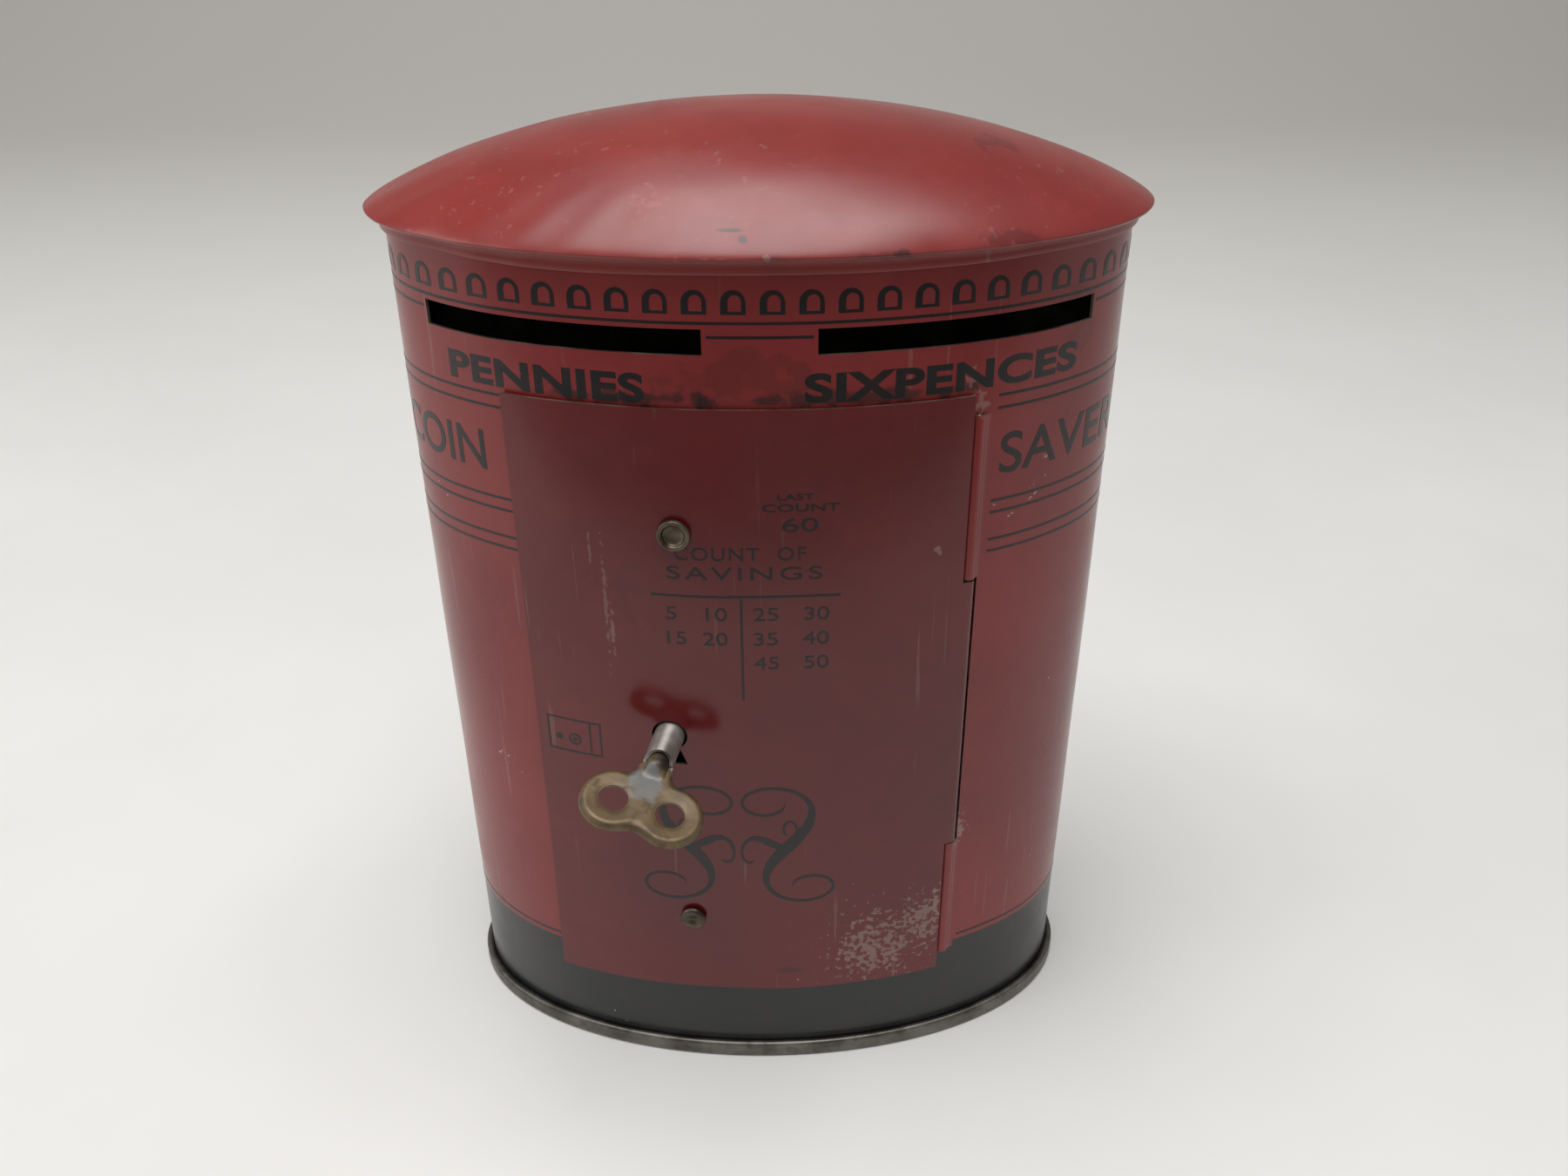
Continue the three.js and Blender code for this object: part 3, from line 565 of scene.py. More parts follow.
def wall_curl(low, high):
    """The sheet leaves the wall along a smooth S, then follows the pin from 45 to 300 degrees."""
    angles = np.radians(np.linspace(45, 300, 22))
    heights = ticks([low, high], 4.0)
    a, h = np.meshgrid(angles, heights)
    faces = []
    for radius, level in ((CURL_OUTER, 0.0), (CURL_INNER, -SHEET)):
        start = on_wall(CURL_START, heights, level)
        end = round_pin(angles[0], radius, heights)
        leave = (end - start) @ RIGHTWARD
        t = np.linspace(0, 1, 8)[None, :-1, None]
        out_of = -np.sin(angles[0]) * RIGHTWARD + np.cos(angles[0]) * OUTWARD
        pull_start = leave[:, None, None] * RIGHTWARD
        curve = (
            (2 * t**3 - 3 * t**2 + 1) * start[:, None]
            + (t**3 - 2 * t**2 + t) * 1.2 * pull_start
            + (3 * t**2 - 2 * t**3) * end[:, None]
            + (t**3 - t**2) * out_of * 1.5
        )
        faces.append(np.concatenate([curve, round_pin(a, radius, h)], 1)[:, ::-1])
    return shell(faces[0], faces[1], cells_of(grid_of(faces[0])), face=0, back=2, rim=3)


back_strip_s, back_strip_z = np.meshgrid(
    GIRTH / 2 + np.linspace(-SEAM_HALF, SEAM_HALF, 7), ticks([SEAM_TOP, SKIRT_BOTTOM], 6.0)
)
seam_fold = shell(
    on_wall(back_strip_s, back_strip_z, -SHEET),
    on_wall(back_strip_s, back_strip_z, -3 * SHEET),
    cells_of(grid_of(back_strip_s)),
    face=2, back=2, rim=3,
)
wall_patches = [wall_sheet, wall_curl(OPEN_BOTTOM, notch[0]), wall_curl(notch[1], OPEN_TOP), seam_fold]
tin_wall = build("tin_wall", wall_patches, [WALL_RED, BAND_BLACK, INNER_TIN, CUT_EDGE])
fit(tin_wall, "box", "red_print", "body_wall")

# %% [markdown]
# ## The lid
# The lid is pressed from one disc: a dome, a lip that stands out past the wall, and a short skirt that
# hugs it. It is drawn as half a section, from the middle of its underside out and back over the top,
# carried round the oval. Small dents in the skirt and lip come from handling.

# %% The lid's section
DOME_FULLNESS = 1.7
LIP_ROUND = 0.45


def dome(out, rise, count):
    """From the pole to the lip: share of the oval = sin(angle), height = rise x cos(angle)^fullness."""
    angle = np.linspace(0, math.pi / 2, count)
    height = LIP_HEIGHT + rise * np.maximum(np.cos(angle), 0) ** DOME_FULLNESS
    return np.stack([np.full(count, out), height, np.sin(angle)], -1)


def ring_rows(points):
    """Skirt and lip points, (out, height), as full-size rings."""
    return np.array([(out, height, 1.0) for out, height in points])


rise = LID_TOP - LIP_HEIGHT
roll = np.radians(np.linspace(-100, -5, 8))
lip_middle = LIP_OUT - LIP_ROUND
lip = np.stack([lip_middle + LIP_ROUND * np.cos(roll), LIP_HEIGHT + LIP_ROUND * np.sin(roll)], -1)
inner_skirt = [(1.75, LIP_HEIGHT - 0.12), (0.95, LIP_HEIGHT - 0.24), (0.42, LIP_HEIGHT - 0.6)]
inner_skirt += [(0.33, LIP_HEIGHT - 1.2), (0.3, SKIRT_BOTTOM + 0.4), (0.34, SKIRT_BOTTOM)]
outer_skirt = [(0.66, SKIRT_BOTTOM - 0.0), (0.72, SKIRT_BOTTOM + 0.15), (0.68, SKIRT_BOTTOM + 0.7)]
outer_skirt += [(0.7, LIP_HEIGHT - 1.1), (0.82, LIP_HEIGHT - 0.78), (1.15, LIP_HEIGHT - 0.58)]
section = np.concatenate([
    dome(LIP_OUT - SHEET, rise - SHEET, 36),
    ring_rows(inner_skirt),
    ring_rows(outer_skirt),
    ring_rows(lip),
    dome(LIP_OUT, rise, 60)[::-1],
])
print(f"lid section: {len(section)} rings, rise {rise:.1f} mm")


# %% Carry the section round the oval, with its dents
def bumps(along, places):
    """Sum of bell curves: each place is (along, width, size)."""
    return sum(size * np.exp(-(((along - place) / width) ** 2)) for place, width, size in places)


SKIRT_SAG = [(-24, 14, -0.3), (-43, 6, 0.25), (14, 20, -0.12), (40, 9, 0.15)]
LIP_DENTS = [(-42, 4, -0.3), (-33, 3, -0.18), (-26, 2.5, -0.14), (-18, 4, -0.1)]
LIP_DENTS += [(21, 3, -0.1), (35, 4, -0.14)]

turns = np.linspace(-math.pi, math.pi, 361)[:-1]
around = np.interp(turns, TURNS, LENGTHS)
out, height, share = (section[:, k][:, None] for k in range(3))
rim_part = np.clip((share - 0.9) / 0.1, 0, 1) ** 2
below_lip = np.clip((LIP_HEIGHT - height) / 2, 0, 1)
dented = bumps(around, LIP_DENTS)[None, :] * rim_part * (1 - 0.3 * below_lip)
ripple = -0.05 * (1 + np.sin(around * 0.9 + 6 * share)) * np.clip((share - 0.72) / 0.2, 0, 1)
ripple = ripple * np.clip(-around / 20, 0, 1) * (height > LIP_HEIGHT)
slow = -0.09 * (1 + np.sin(around * 0.13 + 9 * share) * np.sin(9 * share)) * share * (1 - share**6)
flat = oval(turns[None, :], out + dented) * share[..., None]
level = height + bumps(around, SKIRT_SAG)[None, :] * below_lip + ripple + slow * (height > LIP_HEIGHT)
lid_points = np.concatenate([flat, level[..., None]], -1)
lid_cells = cells_of(grid_of(lid_points), around=True)
inner_count = (36 + len(inner_skirt) - 1) * len(turns)
lid_finish = np.where(np.arange(len(lid_cells)) < inner_count, 1, 0)
LID_MARKS = [
    (np.array([-3.6, -26.4, 137.6]), (1.9, 3.0, 0.22), "stain", 0.8, 0.35),
    (np.array([-1.8, -28.0, 136.8]), (0.7, 2.0, 0.4), "stain", 0.7, 0.7),
    (np.array([17.5, -27.9, 135.0]), (1.6, 2.0, 1.0), "stain", 0.7, 0.9),
    (np.array([30.0, -24.2, 135.6]), (5.0, 3.0, 1.2), "stain", 0.35, 1.0),
    (np.array([20.0, -27.2, 134.6]), (14.0, 3.0, 0.8), "stain", 0.3, 1.1),
    (np.array([1.0, -29.2, 134.9]), (1.0, 2.0, 0.45), "bare", 0.2, 1.2),
    (np.array([-13.0, -22.0, 139.5]), (2.0, 2.5, 1.5), "bare", 0.08, 1.3),
    (np.array([31.0, -7.0, 143.5]), (2.5, 3.0, 2.0), "stain", 0.3, 1.2),
]
# The lid's red is a lighter copy of the wall's red: painted light on the top, where the overhead light falls.
LID_RED_PAINTED_LIGHT = red_lacquer("lid_red_painted_light", srgb(140, 50, 46), srgb(122, 40, 38), 0.27, LID_MARKS, worn=0.08)
lid_shell = build("lid_shell", [(lid_points.reshape(-1, 3), [(lid_cells, lid_finish)])], [LID_RED_PAINTED_LIGHT, INNER_TIN])
fit(lid_shell, "box", "red_print", "lid")

# %% [markdown]
# ## The base pan
# The bottom panel is folded with the wall's edge into a double seam, the same rim that a food can
# stands on. The panel sits higher than the rim and has an oval bead pressed into it to keep it flat.

# %% The base pan's section
ROUND = 0.62


def arc(middle, radius, start, end, count):
    """Points of a circle's arc, as (out, height)."""
    angle = np.radians(np.linspace(start, end, count))
    return [(middle[0] + radius * math.cos(a), middle[1] + radius * math.sin(a)) for a in angle]


def panel(level, count):
    """The flat panel from its middle out, with a bead pressed up at four fifths of its size."""
    share = np.linspace(0, 0.955, count)
    bead = 0.45 * np.exp(-(((share - 0.8) / 0.025) ** 2))
    return np.stack([np.full(count, -1.1), level + bead, share], -1)


outside_round = (SEAM_OUT - ROUND, SEAM_TOP - ROUND)
bottom_round = (SEAM_OUT - ROUND, FLOOR + ROUND)
underside = [(-1.3, 0.0), (-1.13, -0.12), (-1.1, -0.4), (-1.1, FLOOR + 0.6)]
underside += arc((-0.6, FLOOR + 0.5), 0.5, 180, 270, 5)
bead = arc(bottom_round, ROUND, -90, 0, 8) + [(SEAM_OUT - 0.07, (FLOOR + SEAM_TOP) / 2)]
bead += arc(outside_round, ROUND, 0, 110, 9) + [(0.16, SEAM_TOP - 0.2), (0.04, SEAM_TOP - 0.5)]
channel = [(0.04, FLOOR + 0.5), (-0.62, FLOOR + 0.5), (-0.7, FLOOR + 0.7), (-0.7, 0.15), (-0.8, SHEET)]
base_section = np.concatenate([
    panel(0.0, 48), ring_rows(underside), ring_rows(bead), ring_rows(channel), panel(SHEET, 48)[::-1],
])
out, height, share = (base_section[:, k][:, None] for k in range(3))
flat = oval(turns[None, :], np.broadcast_to(out, (len(base_section), len(turns)))) * share[..., None]
base_points = np.concatenate([flat, np.broadcast_to(height[..., None], flat.shape[:2] + (1,))], -1)
base_cells = cells_of(grid_of(base_points), around=True)
ring_of_cell = np.repeat(np.arange(len(base_section) - 1), len(turns))
base_finish = np.where(ring_of_cell < 48, 1, np.where(ring_of_cell < 48 + len(underside) + len(bead), 0, 1))
base_pan_shell = build(
    "base_pan_shell", [(base_points.reshape(-1, 3), [(base_cells, base_finish)])], [SEAM_STEEL, INNER_TIN]
)
fit(base_pan_shell, "box", "bare_tin", "base_pan")

# %% [markdown]
# ## The door
# The door laps the wall on three sides. Its right edge carries a tongue that is rolled round the same
# pin as the wall's curls. The keyhole is a round hole with a flared foot. A ring of cells runs from the
# hole's outline to a rectangle of the door's own grid, so that hole and sheet share their points.

# %% The door's sheet, tongue and curl
LOCK_HEIGHT = KEY_SEAT[2]
DOOR_RIGHT = HINGE_ALONG - 1.15
HOLE_FRAME = (KEY_ALONG - 5.5, KEY_ALONG + 5.5, LOCK_HEIGHT - 8.0, LOCK_HEIGHT + 4.5)
sheet_columns = np.unique(np.concatenate([
    ticks([DOOR_LEFT, HOLE_FRAME[0]], 1.1),
    ticks(HOLE_FRAME[:2], 0.5),
    ticks([HOLE_FRAME[1], DOOR_RIGHT], 1.1),
]).round(4))
rows = np.unique(np.concatenate([
    ticks([DOOR_BOTTOM, TONGUE_BOTTOM, HOLE_FRAME[2]], 1.8),
    ticks(HOLE_FRAME[2:], 0.5),
    ticks([HOLE_FRAME[3], TONGUE_TOP, DOOR_TOP], 1.8),
]).round(4))
s, z = np.meshgrid(sheet_columns, rows)
curl_angles = np.radians(np.linspace(90, -210, 26))
a, h = np.meshgrid(curl_angles, rows)
door_outer = np.concatenate([on_door(s, z, 0.0), round_pin(a, CURL_OUTER, h)], 1)
door_inner = np.concatenate([on_door(s, z, -SHEET), round_pin(a, CURL_INNER, h)], 1)
numbers = grid_of(door_outer)
middle_rows = (rows[:-1] + rows[1:]) / 2
tongue_rows = inside(middle_rows, TONGUE_BOTTOM, TONGUE_TOP)
keep = np.ones((len(rows) - 1, numbers.shape[1] - 1), bool)
keep[:, len(sheet_columns) - 1:] = tongue_rows[:, None]
left, right = (int(np.argmin(np.abs(sheet_columns - edge))) for edge in HOLE_FRAME[:2])
low, high = (int(np.argmin(np.abs(rows - edge))) for edge in HOLE_FRAME[2:])
keep[low:high, left:right] = False


# %% The keyhole
def keyhole_reach(angle):
    """Distance from the waist's middle to the outline: a circle above, three straight sides below."""
    radius, waist, drop, foot = 2.6, 1.4, 5.1, 2.5
    waist_height = -math.sqrt(radius**2 - waist**2)
    x, y = np.cos(angle), np.sin(angle)
    over = -waist_height * y
    circle = over + np.sqrt(over**2 - waist_height**2 + radius**2)
    depth = drop + waist_height
    slope = (foot - waist) / depth
    down = np.maximum(-y, 1e-6)
    side = waist / np.maximum(np.abs(x) - slope * down, 1e-6)
    return np.where(y >= 0, circle, np.minimum(side, depth / down)), waist_height


border = np.concatenate([
    numbers[low, left:right],
    numbers[low:high, right],
    numbers[high, right:left:-1],
    numbers[high:low:-1, left],
])
grid_s = np.broadcast_to(np.append(sheet_columns, np.zeros(len(curl_angles))), numbers.shape).ravel()
grid_z = z[:, :1].repeat(numbers.shape[1], 1).ravel()
waist_height = keyhole_reach(np.array([0.0]))[1]
from_s, from_z = grid_s[border] - KEY_ALONG, grid_z[border] - LOCK_HEIGHT - waist_height
angle = np.arctan2(from_z, from_s)
reach = keyhole_reach(angle)[0]
hole_s, hole_z = reach * np.cos(angle), reach * np.sin(angle)
shares = np.array([0.3, 0.55, 0.75, 0.88, 0.95, 1.0])[:, None]
ring_s = KEY_ALONG + from_s + (hole_s - from_s) * shares
ring_z = LOCK_HEIGHT + waist_height + from_z + (hole_z - from_z) * shares
ring_numbers = numbers.size + np.arange(ring_s.size).reshape(ring_s.shape)
ring_cells = cells_of(np.concatenate([border[None], ring_numbers]), around=True)
door_cells = np.concatenate([cells_of(numbers, keep=keep), ring_cells])
door_outer = np.concatenate([door_outer.reshape(-1, 3), on_door(ring_s, ring_z, 0.0).reshape(-1, 3)])
door_inner = np.concatenate([door_inner.reshape(-1, 3), on_door(ring_s, ring_z, -SHEET).reshape(-1, 3)])
door_panel = build("door_panel", [shell(door_outer, door_inner, door_cells)], [DOOR_RED_PAINTED_SHADE, INNER_TIN, CUT_EDGE])
fit(door_panel, "door", "red_print", "door")

# %% [markdown]
# ## Turned pieces
# The pin, the rivets and the lock's post are turned: a profile of (radius, height) carried round an
# axis. A small frame of three directions puts them on the wall or in line with the key.

# %% Frames to hang pieces in
UP = np.array([0.0, 0.0, 1.0])


def seat_on(origin, outward, roll=0.0, across=None):
    """Right, up and outward directions at a place, rolled clockwise as seen from the front.

    Up is square to the outward direction and to `across`, which is level if it is not given.
    """
    outward = outward / np.linalg.norm(outward)
    up = np.cross(outward, np.cross(UP, outward) if across is None else across)
    up /= np.linalg.norm(up)
    right = np.cross(up, outward)
    turn = math.radians(roll)
    axes = np.array([
        math.cos(turn) * right - math.sin(turn) * up, math.sin(turn) * right + math.cos(turn) * up, outward,
    ])
    return lambda local: origin + local @ axes


def seat_at(along, height):
    face, front = on_wall(along, height, 0.0), on_wall(along, height, 1.0)
    return seat_on(face, front - face)


def turned(profile, seat, sides=64):
    """Rings of the profile's (radius, height) pairs about the seat's outward direction."""
    radius, level = np.array(profile, float).T
    angle = np.linspace(0, 2 * math.pi, sides, endpoint=False)
    x, y = radius[:, None] * np.cos(angle), radius[:, None] * np.sin(angle)
    return loft(seat(np.stack([x, y, np.broadcast_to(level[:, None], x.shape)], -1)))


def rounded(corners, radius=0.15, steps=4):
    """A profile with each inner corner replaced by a short quadratic curve."""
    corners = np.array(corners, float)
    points = [corners[:1]]
    for before, corner, after in zip(corners[:-2], corners[1:-1], corners[2:]):
        start, end = (
            corner + (other - corner) * min(0.45, radius / max(np.linalg.norm(other - corner), 1e-6))
            for other in (before, after)
        )
        t = np.linspace(0, 1, steps)[:, None]
        points.append((1 - t) ** 2 * start + 2 * t * (1 - t) * corner + t**2 * end)
    return np.concatenate(points + [corners[-1:]])


# %% Hinge pin
PIN_RADIUS = (pin_high[0] - pin_low[0]) / 2
pin_seat = lambda local: PIN_PLACE + local
pin_corners = [(0, OPEN_BOTTOM), (PIN_RADIUS, OPEN_BOTTOM), (PIN_RADIUS, OPEN_TOP), (0, OPEN_TOP)]
pin_profile = rounded(pin_corners, 0.2)
hinge_wire = build("hinge_wire", [turned(pin_profile, pin_seat, 32)], [WIRE_STEEL])
fit(hinge_wire, "box", "bare_tin", "hinge_pin")

# %% Rivets
FOOT_FACE = -0.3  # the strap's outer face where it is riveted
STRAP = 0.6


def rivet(name, node, radius, dish):
    """A shank with a flattened tail, and a head whose middle follows the dish profile."""
    low, high = box_mm(node)
    seat = seat_at(RIVET_ALONG, (low[2] + high[2]) / 2)
    tail = FOOT_FACE - STRAP - 0.3
    shank = [(0, tail - 0.8), (1.8, tail - 0.8), (1.8, tail), (1.2, tail), (1.2, 1.0), (radius, 1.0)]
    profile = rounded(shank + [(radius, 1.35)], 0.2)
    crown = rounded([(radius, 1.35), *dish], 0.25, 6)
    piece = build(name, [turned(np.concatenate([profile[:-1], crown]), seat)], [RIVET_STEEL], angle=60)
    fit(piece, "door", "lock_steel", node)


upper_dish = [(2.2, 1.72), (1.95, 1.8), (1.65, 1.72), (1.45, 1.25), (0.9, 1.05), (0, 1.02)]
lower_dish = [(1.8, 1.66), (1.45, 1.78), (0.95, 1.72), (0.6, 1.5), (0.45, 1.42), (0.3, 1.55), (0, 1.6)]
rivet("rivet_head_upper", "rivet_upper", 2.3, upper_dish)
rivet("rivet_head_lower", "rivet_lower", 2.0, lower_dish)

# %% [markdown]
# ## The lock
# Inside the door a strip is riveted at both ends. Its middle stands off and leans as the key droops, and
# carries a post that the hollow key slips over. The latch turns on the same post: it hangs down when
# the door is free, and swings behind the wall's left edge when the key is turned.

# %% The strap
KEY_ROLL = 12.0
key_turn = turn_at(KEY_ALONG)
key_normal = np.append(oval(key_turn, 1.0) - oval(key_turn, 0.0), 0.0)
key_across = np.cross(UP, key_normal)
lock_seat = seat_on(KEY_SEAT, KEY_AXIS, 0.0, key_across)
turning_seat = seat_on(KEY_SEAT, KEY_AXIS, KEY_ROLL, key_across)
DROOP = math.atan2(-KEY_AXIS[2], KEY_AXIS @ key_normal)
LATCH_FACE, LATCH_SHEET = -3.7, 0.6
STRAP_FACE = LATCH_FACE - LATCH_SHEET - 1.0
latch_low = box_mm("lock_latch")[0]
LATCH_REACH = (LOCK_HEIGHT - latch_low[2] + LATCH_FACE * KEY_AXIS[2]) / math.cos(DROOP)


def strap_line(depth):
    """Out and height along the strip's face, `depth` behind its front."""
    middle = [
        ((STRAP_FACE - depth) * math.cos(DROOP) - down * math.sin(DROOP),
         LOCK_HEIGHT - (STRAP_FACE - depth) * math.sin(DROOP) - down * math.cos(DROOP))
        for down in (-8.4, LATCH_REACH + 1)
    ]
    heights = [float(sum(box_mm(node)[k][2] for k in (0, 1)) / 2) for node in ("rivet_upper", "rivet_lower")]
    foot = FOOT_FACE - depth
    corners = [(foot, heights[0] + 4), (foot, heights[0] - 4), *middle, (foot, heights[1] + 4)]
    return rounded(corners + [(foot, heights[1] - 4)], 1.6, 7)


front_line, back_line = strap_line(0.0)[::-1], strap_line(STRAP)[::-1]
across = ticks([-7.5, 7.5], 1.5)
round_end = 1.2 * (np.abs(across) / 7.5) ** 6
middle_turn = turn_at(RIVET_ALONG)
strap_right = seat_at(RIVET_ALONG, 0.0)


def strap_face(line):
    """The line carried across the strip's width, with its two ends slightly rounded off."""
    out = np.broadcast_to(line[:, :1], (len(line), len(across)))
    height = line[:, 1:] + np.where(np.arange(len(line)) == 0, 1, 0)[:, None] * round_end
    height = height - np.where(np.arange(len(line)) == len(line) - 1, 1, 0)[:, None] * round_end
    x = np.broadcast_to(across, out.shape)
    return strap_right(np.stack([x, height, out], -1))


strap_cells = cells_of(np.arange(len(front_line) * len(across)).reshape(len(front_line), -1))
strap_patch = shell(strap_face(front_line), strap_face(back_line), strap_cells, 0, 0, 0)
strap_tin = bare_metal("strap_tin", srgb(150, 146, 138), srgb(100, 96, 90), 0.36, rust=0.3)
fit(build("lock_strap_strip", [strap_patch], [strap_tin]), "door", "bare_tin", "lock_strap")

# %% The post
post_back = STRAP_FACE - STRAP - 0.6
post_profile = rounded([
    (0, post_back - 0.6), (2.1, post_back - 0.6), (2.1, post_back), (1.2, post_back), (1.2, -0.3), (0, -0.3),
], 0.2)
lock_post_pin = build("lock_post_pin", [turned(post_profile, lock_seat)], [LATCH_STEEL])
fit(lock_post_pin, "door", "lock_steel", "lock_post")

# %% The latch
HUB, BAR_HALF = 4.4, 2.5


def latch_outline(angle, inset):
    """Reach from the post at each angle: the hub's circle, or the bar with its round end."""
    off = np.abs((angle + math.pi / 2 + math.pi) % (2 * math.pi) - math.pi)
    half, end = BAR_HALF - inset, LATCH_REACH - BAR_HALF
    side = half / np.maximum(np.sin(np.minimum(off, math.pi / 2)), 1e-6)
    tip = end * np.cos(off) + np.sqrt(np.maximum(half**2 - (end * np.sin(off)) ** 2, 0))
    bar = np.where(side * np.cos(off) < end, side, tip)
    return np.maximum(HUB - inset, np.where(off < math.pi / 2, bar, 0))


side_angles = np.arctan2(BAR_HALF, np.linspace(2.5, LATCH_REACH - BAR_HALF, 16))
tip_angles = np.arctan2(BAR_HALF, LATCH_REACH - BAR_HALF) * np.linspace(0, 1, 9)
beside = np.unique(np.concatenate([side_angles, tip_angles]).round(6))
angle = np.unique(np.concatenate([
    np.linspace(-math.pi, math.pi, 64, endpoint=False), -math.pi / 2 + beside, -math.pi / 2 - beside,
]).round(6))


def latch_ring(inset, level, bore=False):
    reach = np.full(len(angle), 1.5) if bore else latch_outline(angle, inset)
    return np.stack([reach * np.cos(angle), reach * np.sin(angle), np.full(len(angle), level)], -1)


latch_back = LATCH_FACE - LATCH_SHEET
rings = np.stack([
    latch_ring(0, latch_back, True), latch_ring(0.12, latch_back), latch_ring(0, latch_back + 0.12),
    latch_ring(0, LATCH_FACE - 0.12), latch_ring(0.12, LATCH_FACE), latch_ring(0, LATCH_FACE, True),
    latch_ring(0, latch_back, True),
])


def block(seat, middle, half, power=8):
    """A block with softened edges: a superellipse ring, drawn in at both ends and closed."""
    angle = np.linspace(0, 2 * math.pi, 32, endpoint=False)
    soft = lambda wave: np.sign(wave) * np.abs(wave) ** (2 / power)
    ring = np.stack([half[0] * soft(np.cos(angle)), half[1] * soft(np.sin(angle))], -1)
    shrink = np.array([0.0, 0.9, 1.0, 1.0, 0.9, 0.0])[:, None, None]
    level = half[2] * np.array([-1, -1, -0.93, 0.93, 1, 1])
    rows = np.concatenate([ring * shrink, np.broadcast_to(level[:, None, None], (6, 32, 1))], -1)
    return loft(seat(rows + np.array(middle)))


dogs = [block(turning_seat, (side * 0.9, -3.35, LATCH_FACE + 0.9), (0.35, 0.85, 1.1)) for side in (-1, 1)]
fit(build("latch_plate", [loft(lock_seat(rings)), *dogs], [LATCH_STEEL]), "latch", "lock_steel", "lock_latch")

# %% [markdown]
# ## The key
# The shank is a strip rolled into a pipe, with an open seam underneath and its end cut to a U. The bow
# is stamped from brass-coloured sheet: two lobes with holes, edges turned down all round, and a
# half-round neck that is crimped in the pipe. The bow is drawn by its distance from the edge.

# %% The pipe and its bit
TUBE_RADIUS, TUBE_BORE, TUBE_END, TUBE_START = 2.2, 1.7, 6.0, -3.4
angle = np.radians(np.linspace(-86, 266, 72))
upper_side = np.clip(np.sin(angle), 0, 1)
cut = 1.1 * np.clip((upper_side - 0.35) / 0.65, 0, 1) ** 0.7
t = np.linspace(0, 1, 30)[:, None]
length = TUBE_START + (TUBE_END - cut - TUBE_START) * t
length[0] += 0.12


def pipe_face(radius):
    x = np.broadcast_to(radius * np.cos(angle), length.shape)
    return turning_seat(np.stack([x, np.broadcast_to(radius * np.sin(angle), length.shape), length], -1))


pipe_cells = cells_of(np.arange(length.size).reshape(length.shape))
pipe = shell(pipe_face(TUBE_RADIUS), pipe_face(TUBE_BORE), pipe_cells, 0, 0, 0)
bit = block(turning_seat, (0, -3.22, TUBE_START + 1.1), (0.25, 1.27, 1.1), 10)
fit(build("key_pipe", [pipe, bit], [KEY_STEEL]), "key", "key_steel", "key_tube")

# %% The bow's outline
LOBE_SPAN, LOBE_RADIUS, LOBE_HOLE, LOBE_ALONG = 4.15, 4.8, 2.1, 13.4
NECK_START = TUBE_END - 2.5


def blend(first, second, reach):
    """The smaller of two distances, with the corner between them filled over the reach."""
    near = np.maximum(reach - np.abs(first - second), 0) / reach
    return np.minimum(first, second) - near**2 * reach / 4


def bow_distance(x, w):
    """Distance outside the bow's edge: two lobes blended with a stem that widens from the neck."""
    lobe = np.hypot(np.abs(x) - LOBE_SPAN, w - LOBE_ALONG) - LOBE_RADIUS
    other = np.hypot(np.abs(x) + LOBE_SPAN, w - LOBE_ALONG) - LOBE_RADIUS
    stem_half = np.interp(w, [NECK_START, 5.6, 6.9, 9.0, 12.3], [1.35, 1.35, 2.5, 3.2, 4.8])
    stem = np.maximum(np.maximum(np.abs(x) - stem_half, NECK_START - w), w - 14.0)
    return blend(blend(lobe, other, 3.2), stem, 1.6)


def hole_distance(x, w):
    """Distance outside the nearer hole's edge."""
    return np.hypot(np.abs(x) - LOBE_SPAN, w - LOBE_ALONG) - LOBE_HOLE


def bow_shape(x, w):
    return np.maximum(bow_distance(x, w), -hole_distance(x, w))


def slope_of(field, x, w, step=0.02):
    """Gradient of a distance, from differences."""
    across = (field(x + step, w) - field(x - step, w)) / (2 * step)
    down = (field(x, w + step) - field(x, w - step)) / (2 * step)
    length = np.maximum(np.hypot(across, down), 0.2)
    return across / length, down / length


# %% The bow's sheet
columns, rows = ticks([-9.2, 9.2], 0.19), ticks([NECK_START, 18.6], 0.19)
x, w = np.meshgrid(columns, rows)
middle_x, middle_w = np.meshgrid((columns[:-1] + columns[1:]) / 2, (rows[:-1] + rows[1:]) / 2)
keep = bow_shape(middle_x, middle_w) < -0.02
cells = cells_of(grid_of(x), keep=keep)
edges = np.stack([cells, np.roll(cells, -1, axis=1)], -1).reshape(-1, 2)
free = edges[~np.isin(edges[:, 0] * x.size + edges[:, 1], edges[:, 1] * x.size + edges[:, 0])]
rim = np.unique(free)
x, w = x.ravel().copy(), w.ravel().copy()
for _ in range(4):
    gap = bow_shape(x[rim], w[rim])
    toward_x, toward_w = slope_of(bow_shape, x[rim], w[rim])
    x[rim] -= gap * toward_x
    w[rim] -= gap * toward_w

BOW_SHEET, EDGE_ROUND, FACE, LOWEST = 0.5, 0.85, 0.25, -1.05
inside_by = np.maximum(-bow_distance(x, w), 0)
from_hole = np.maximum(hole_distance(x, w), 0)
in_round = np.clip(EDGE_ROUND - inside_by, 0, EDGE_ROUND)
neck = np.clip((8.8 - w) / 2.6, 0, 1)
neck = neck * neck * (3 - 2 * neck)
face = FACE - (EDGE_ROUND - np.sqrt(EDGE_ROUND**2 - in_round**2)) * (1 - neck)
face -= 0.14 * np.exp(-((from_hole / 0.35) ** 2)) * (1 - neck)
face -= 0.12 * np.clip((inside_by - 0.9) / 1.2, 0, 1) * (1 - neck)
crown = 1.15 * np.sqrt(np.maximum(1 - (x / 1.6) ** 2, 0))
face += crown * neck
outline = np.zeros(len(x), bool)
outline[rim] = from_hole[rim] > 0.3
skirted = outline & (w > 7.2)
face[skirted] = LOWEST
tuck = np.clip(BOW_SHEET - inside_by, 0, BOW_SHEET) * (1 - neck)
toward_x, toward_w = slope_of(bow_distance, x, w)
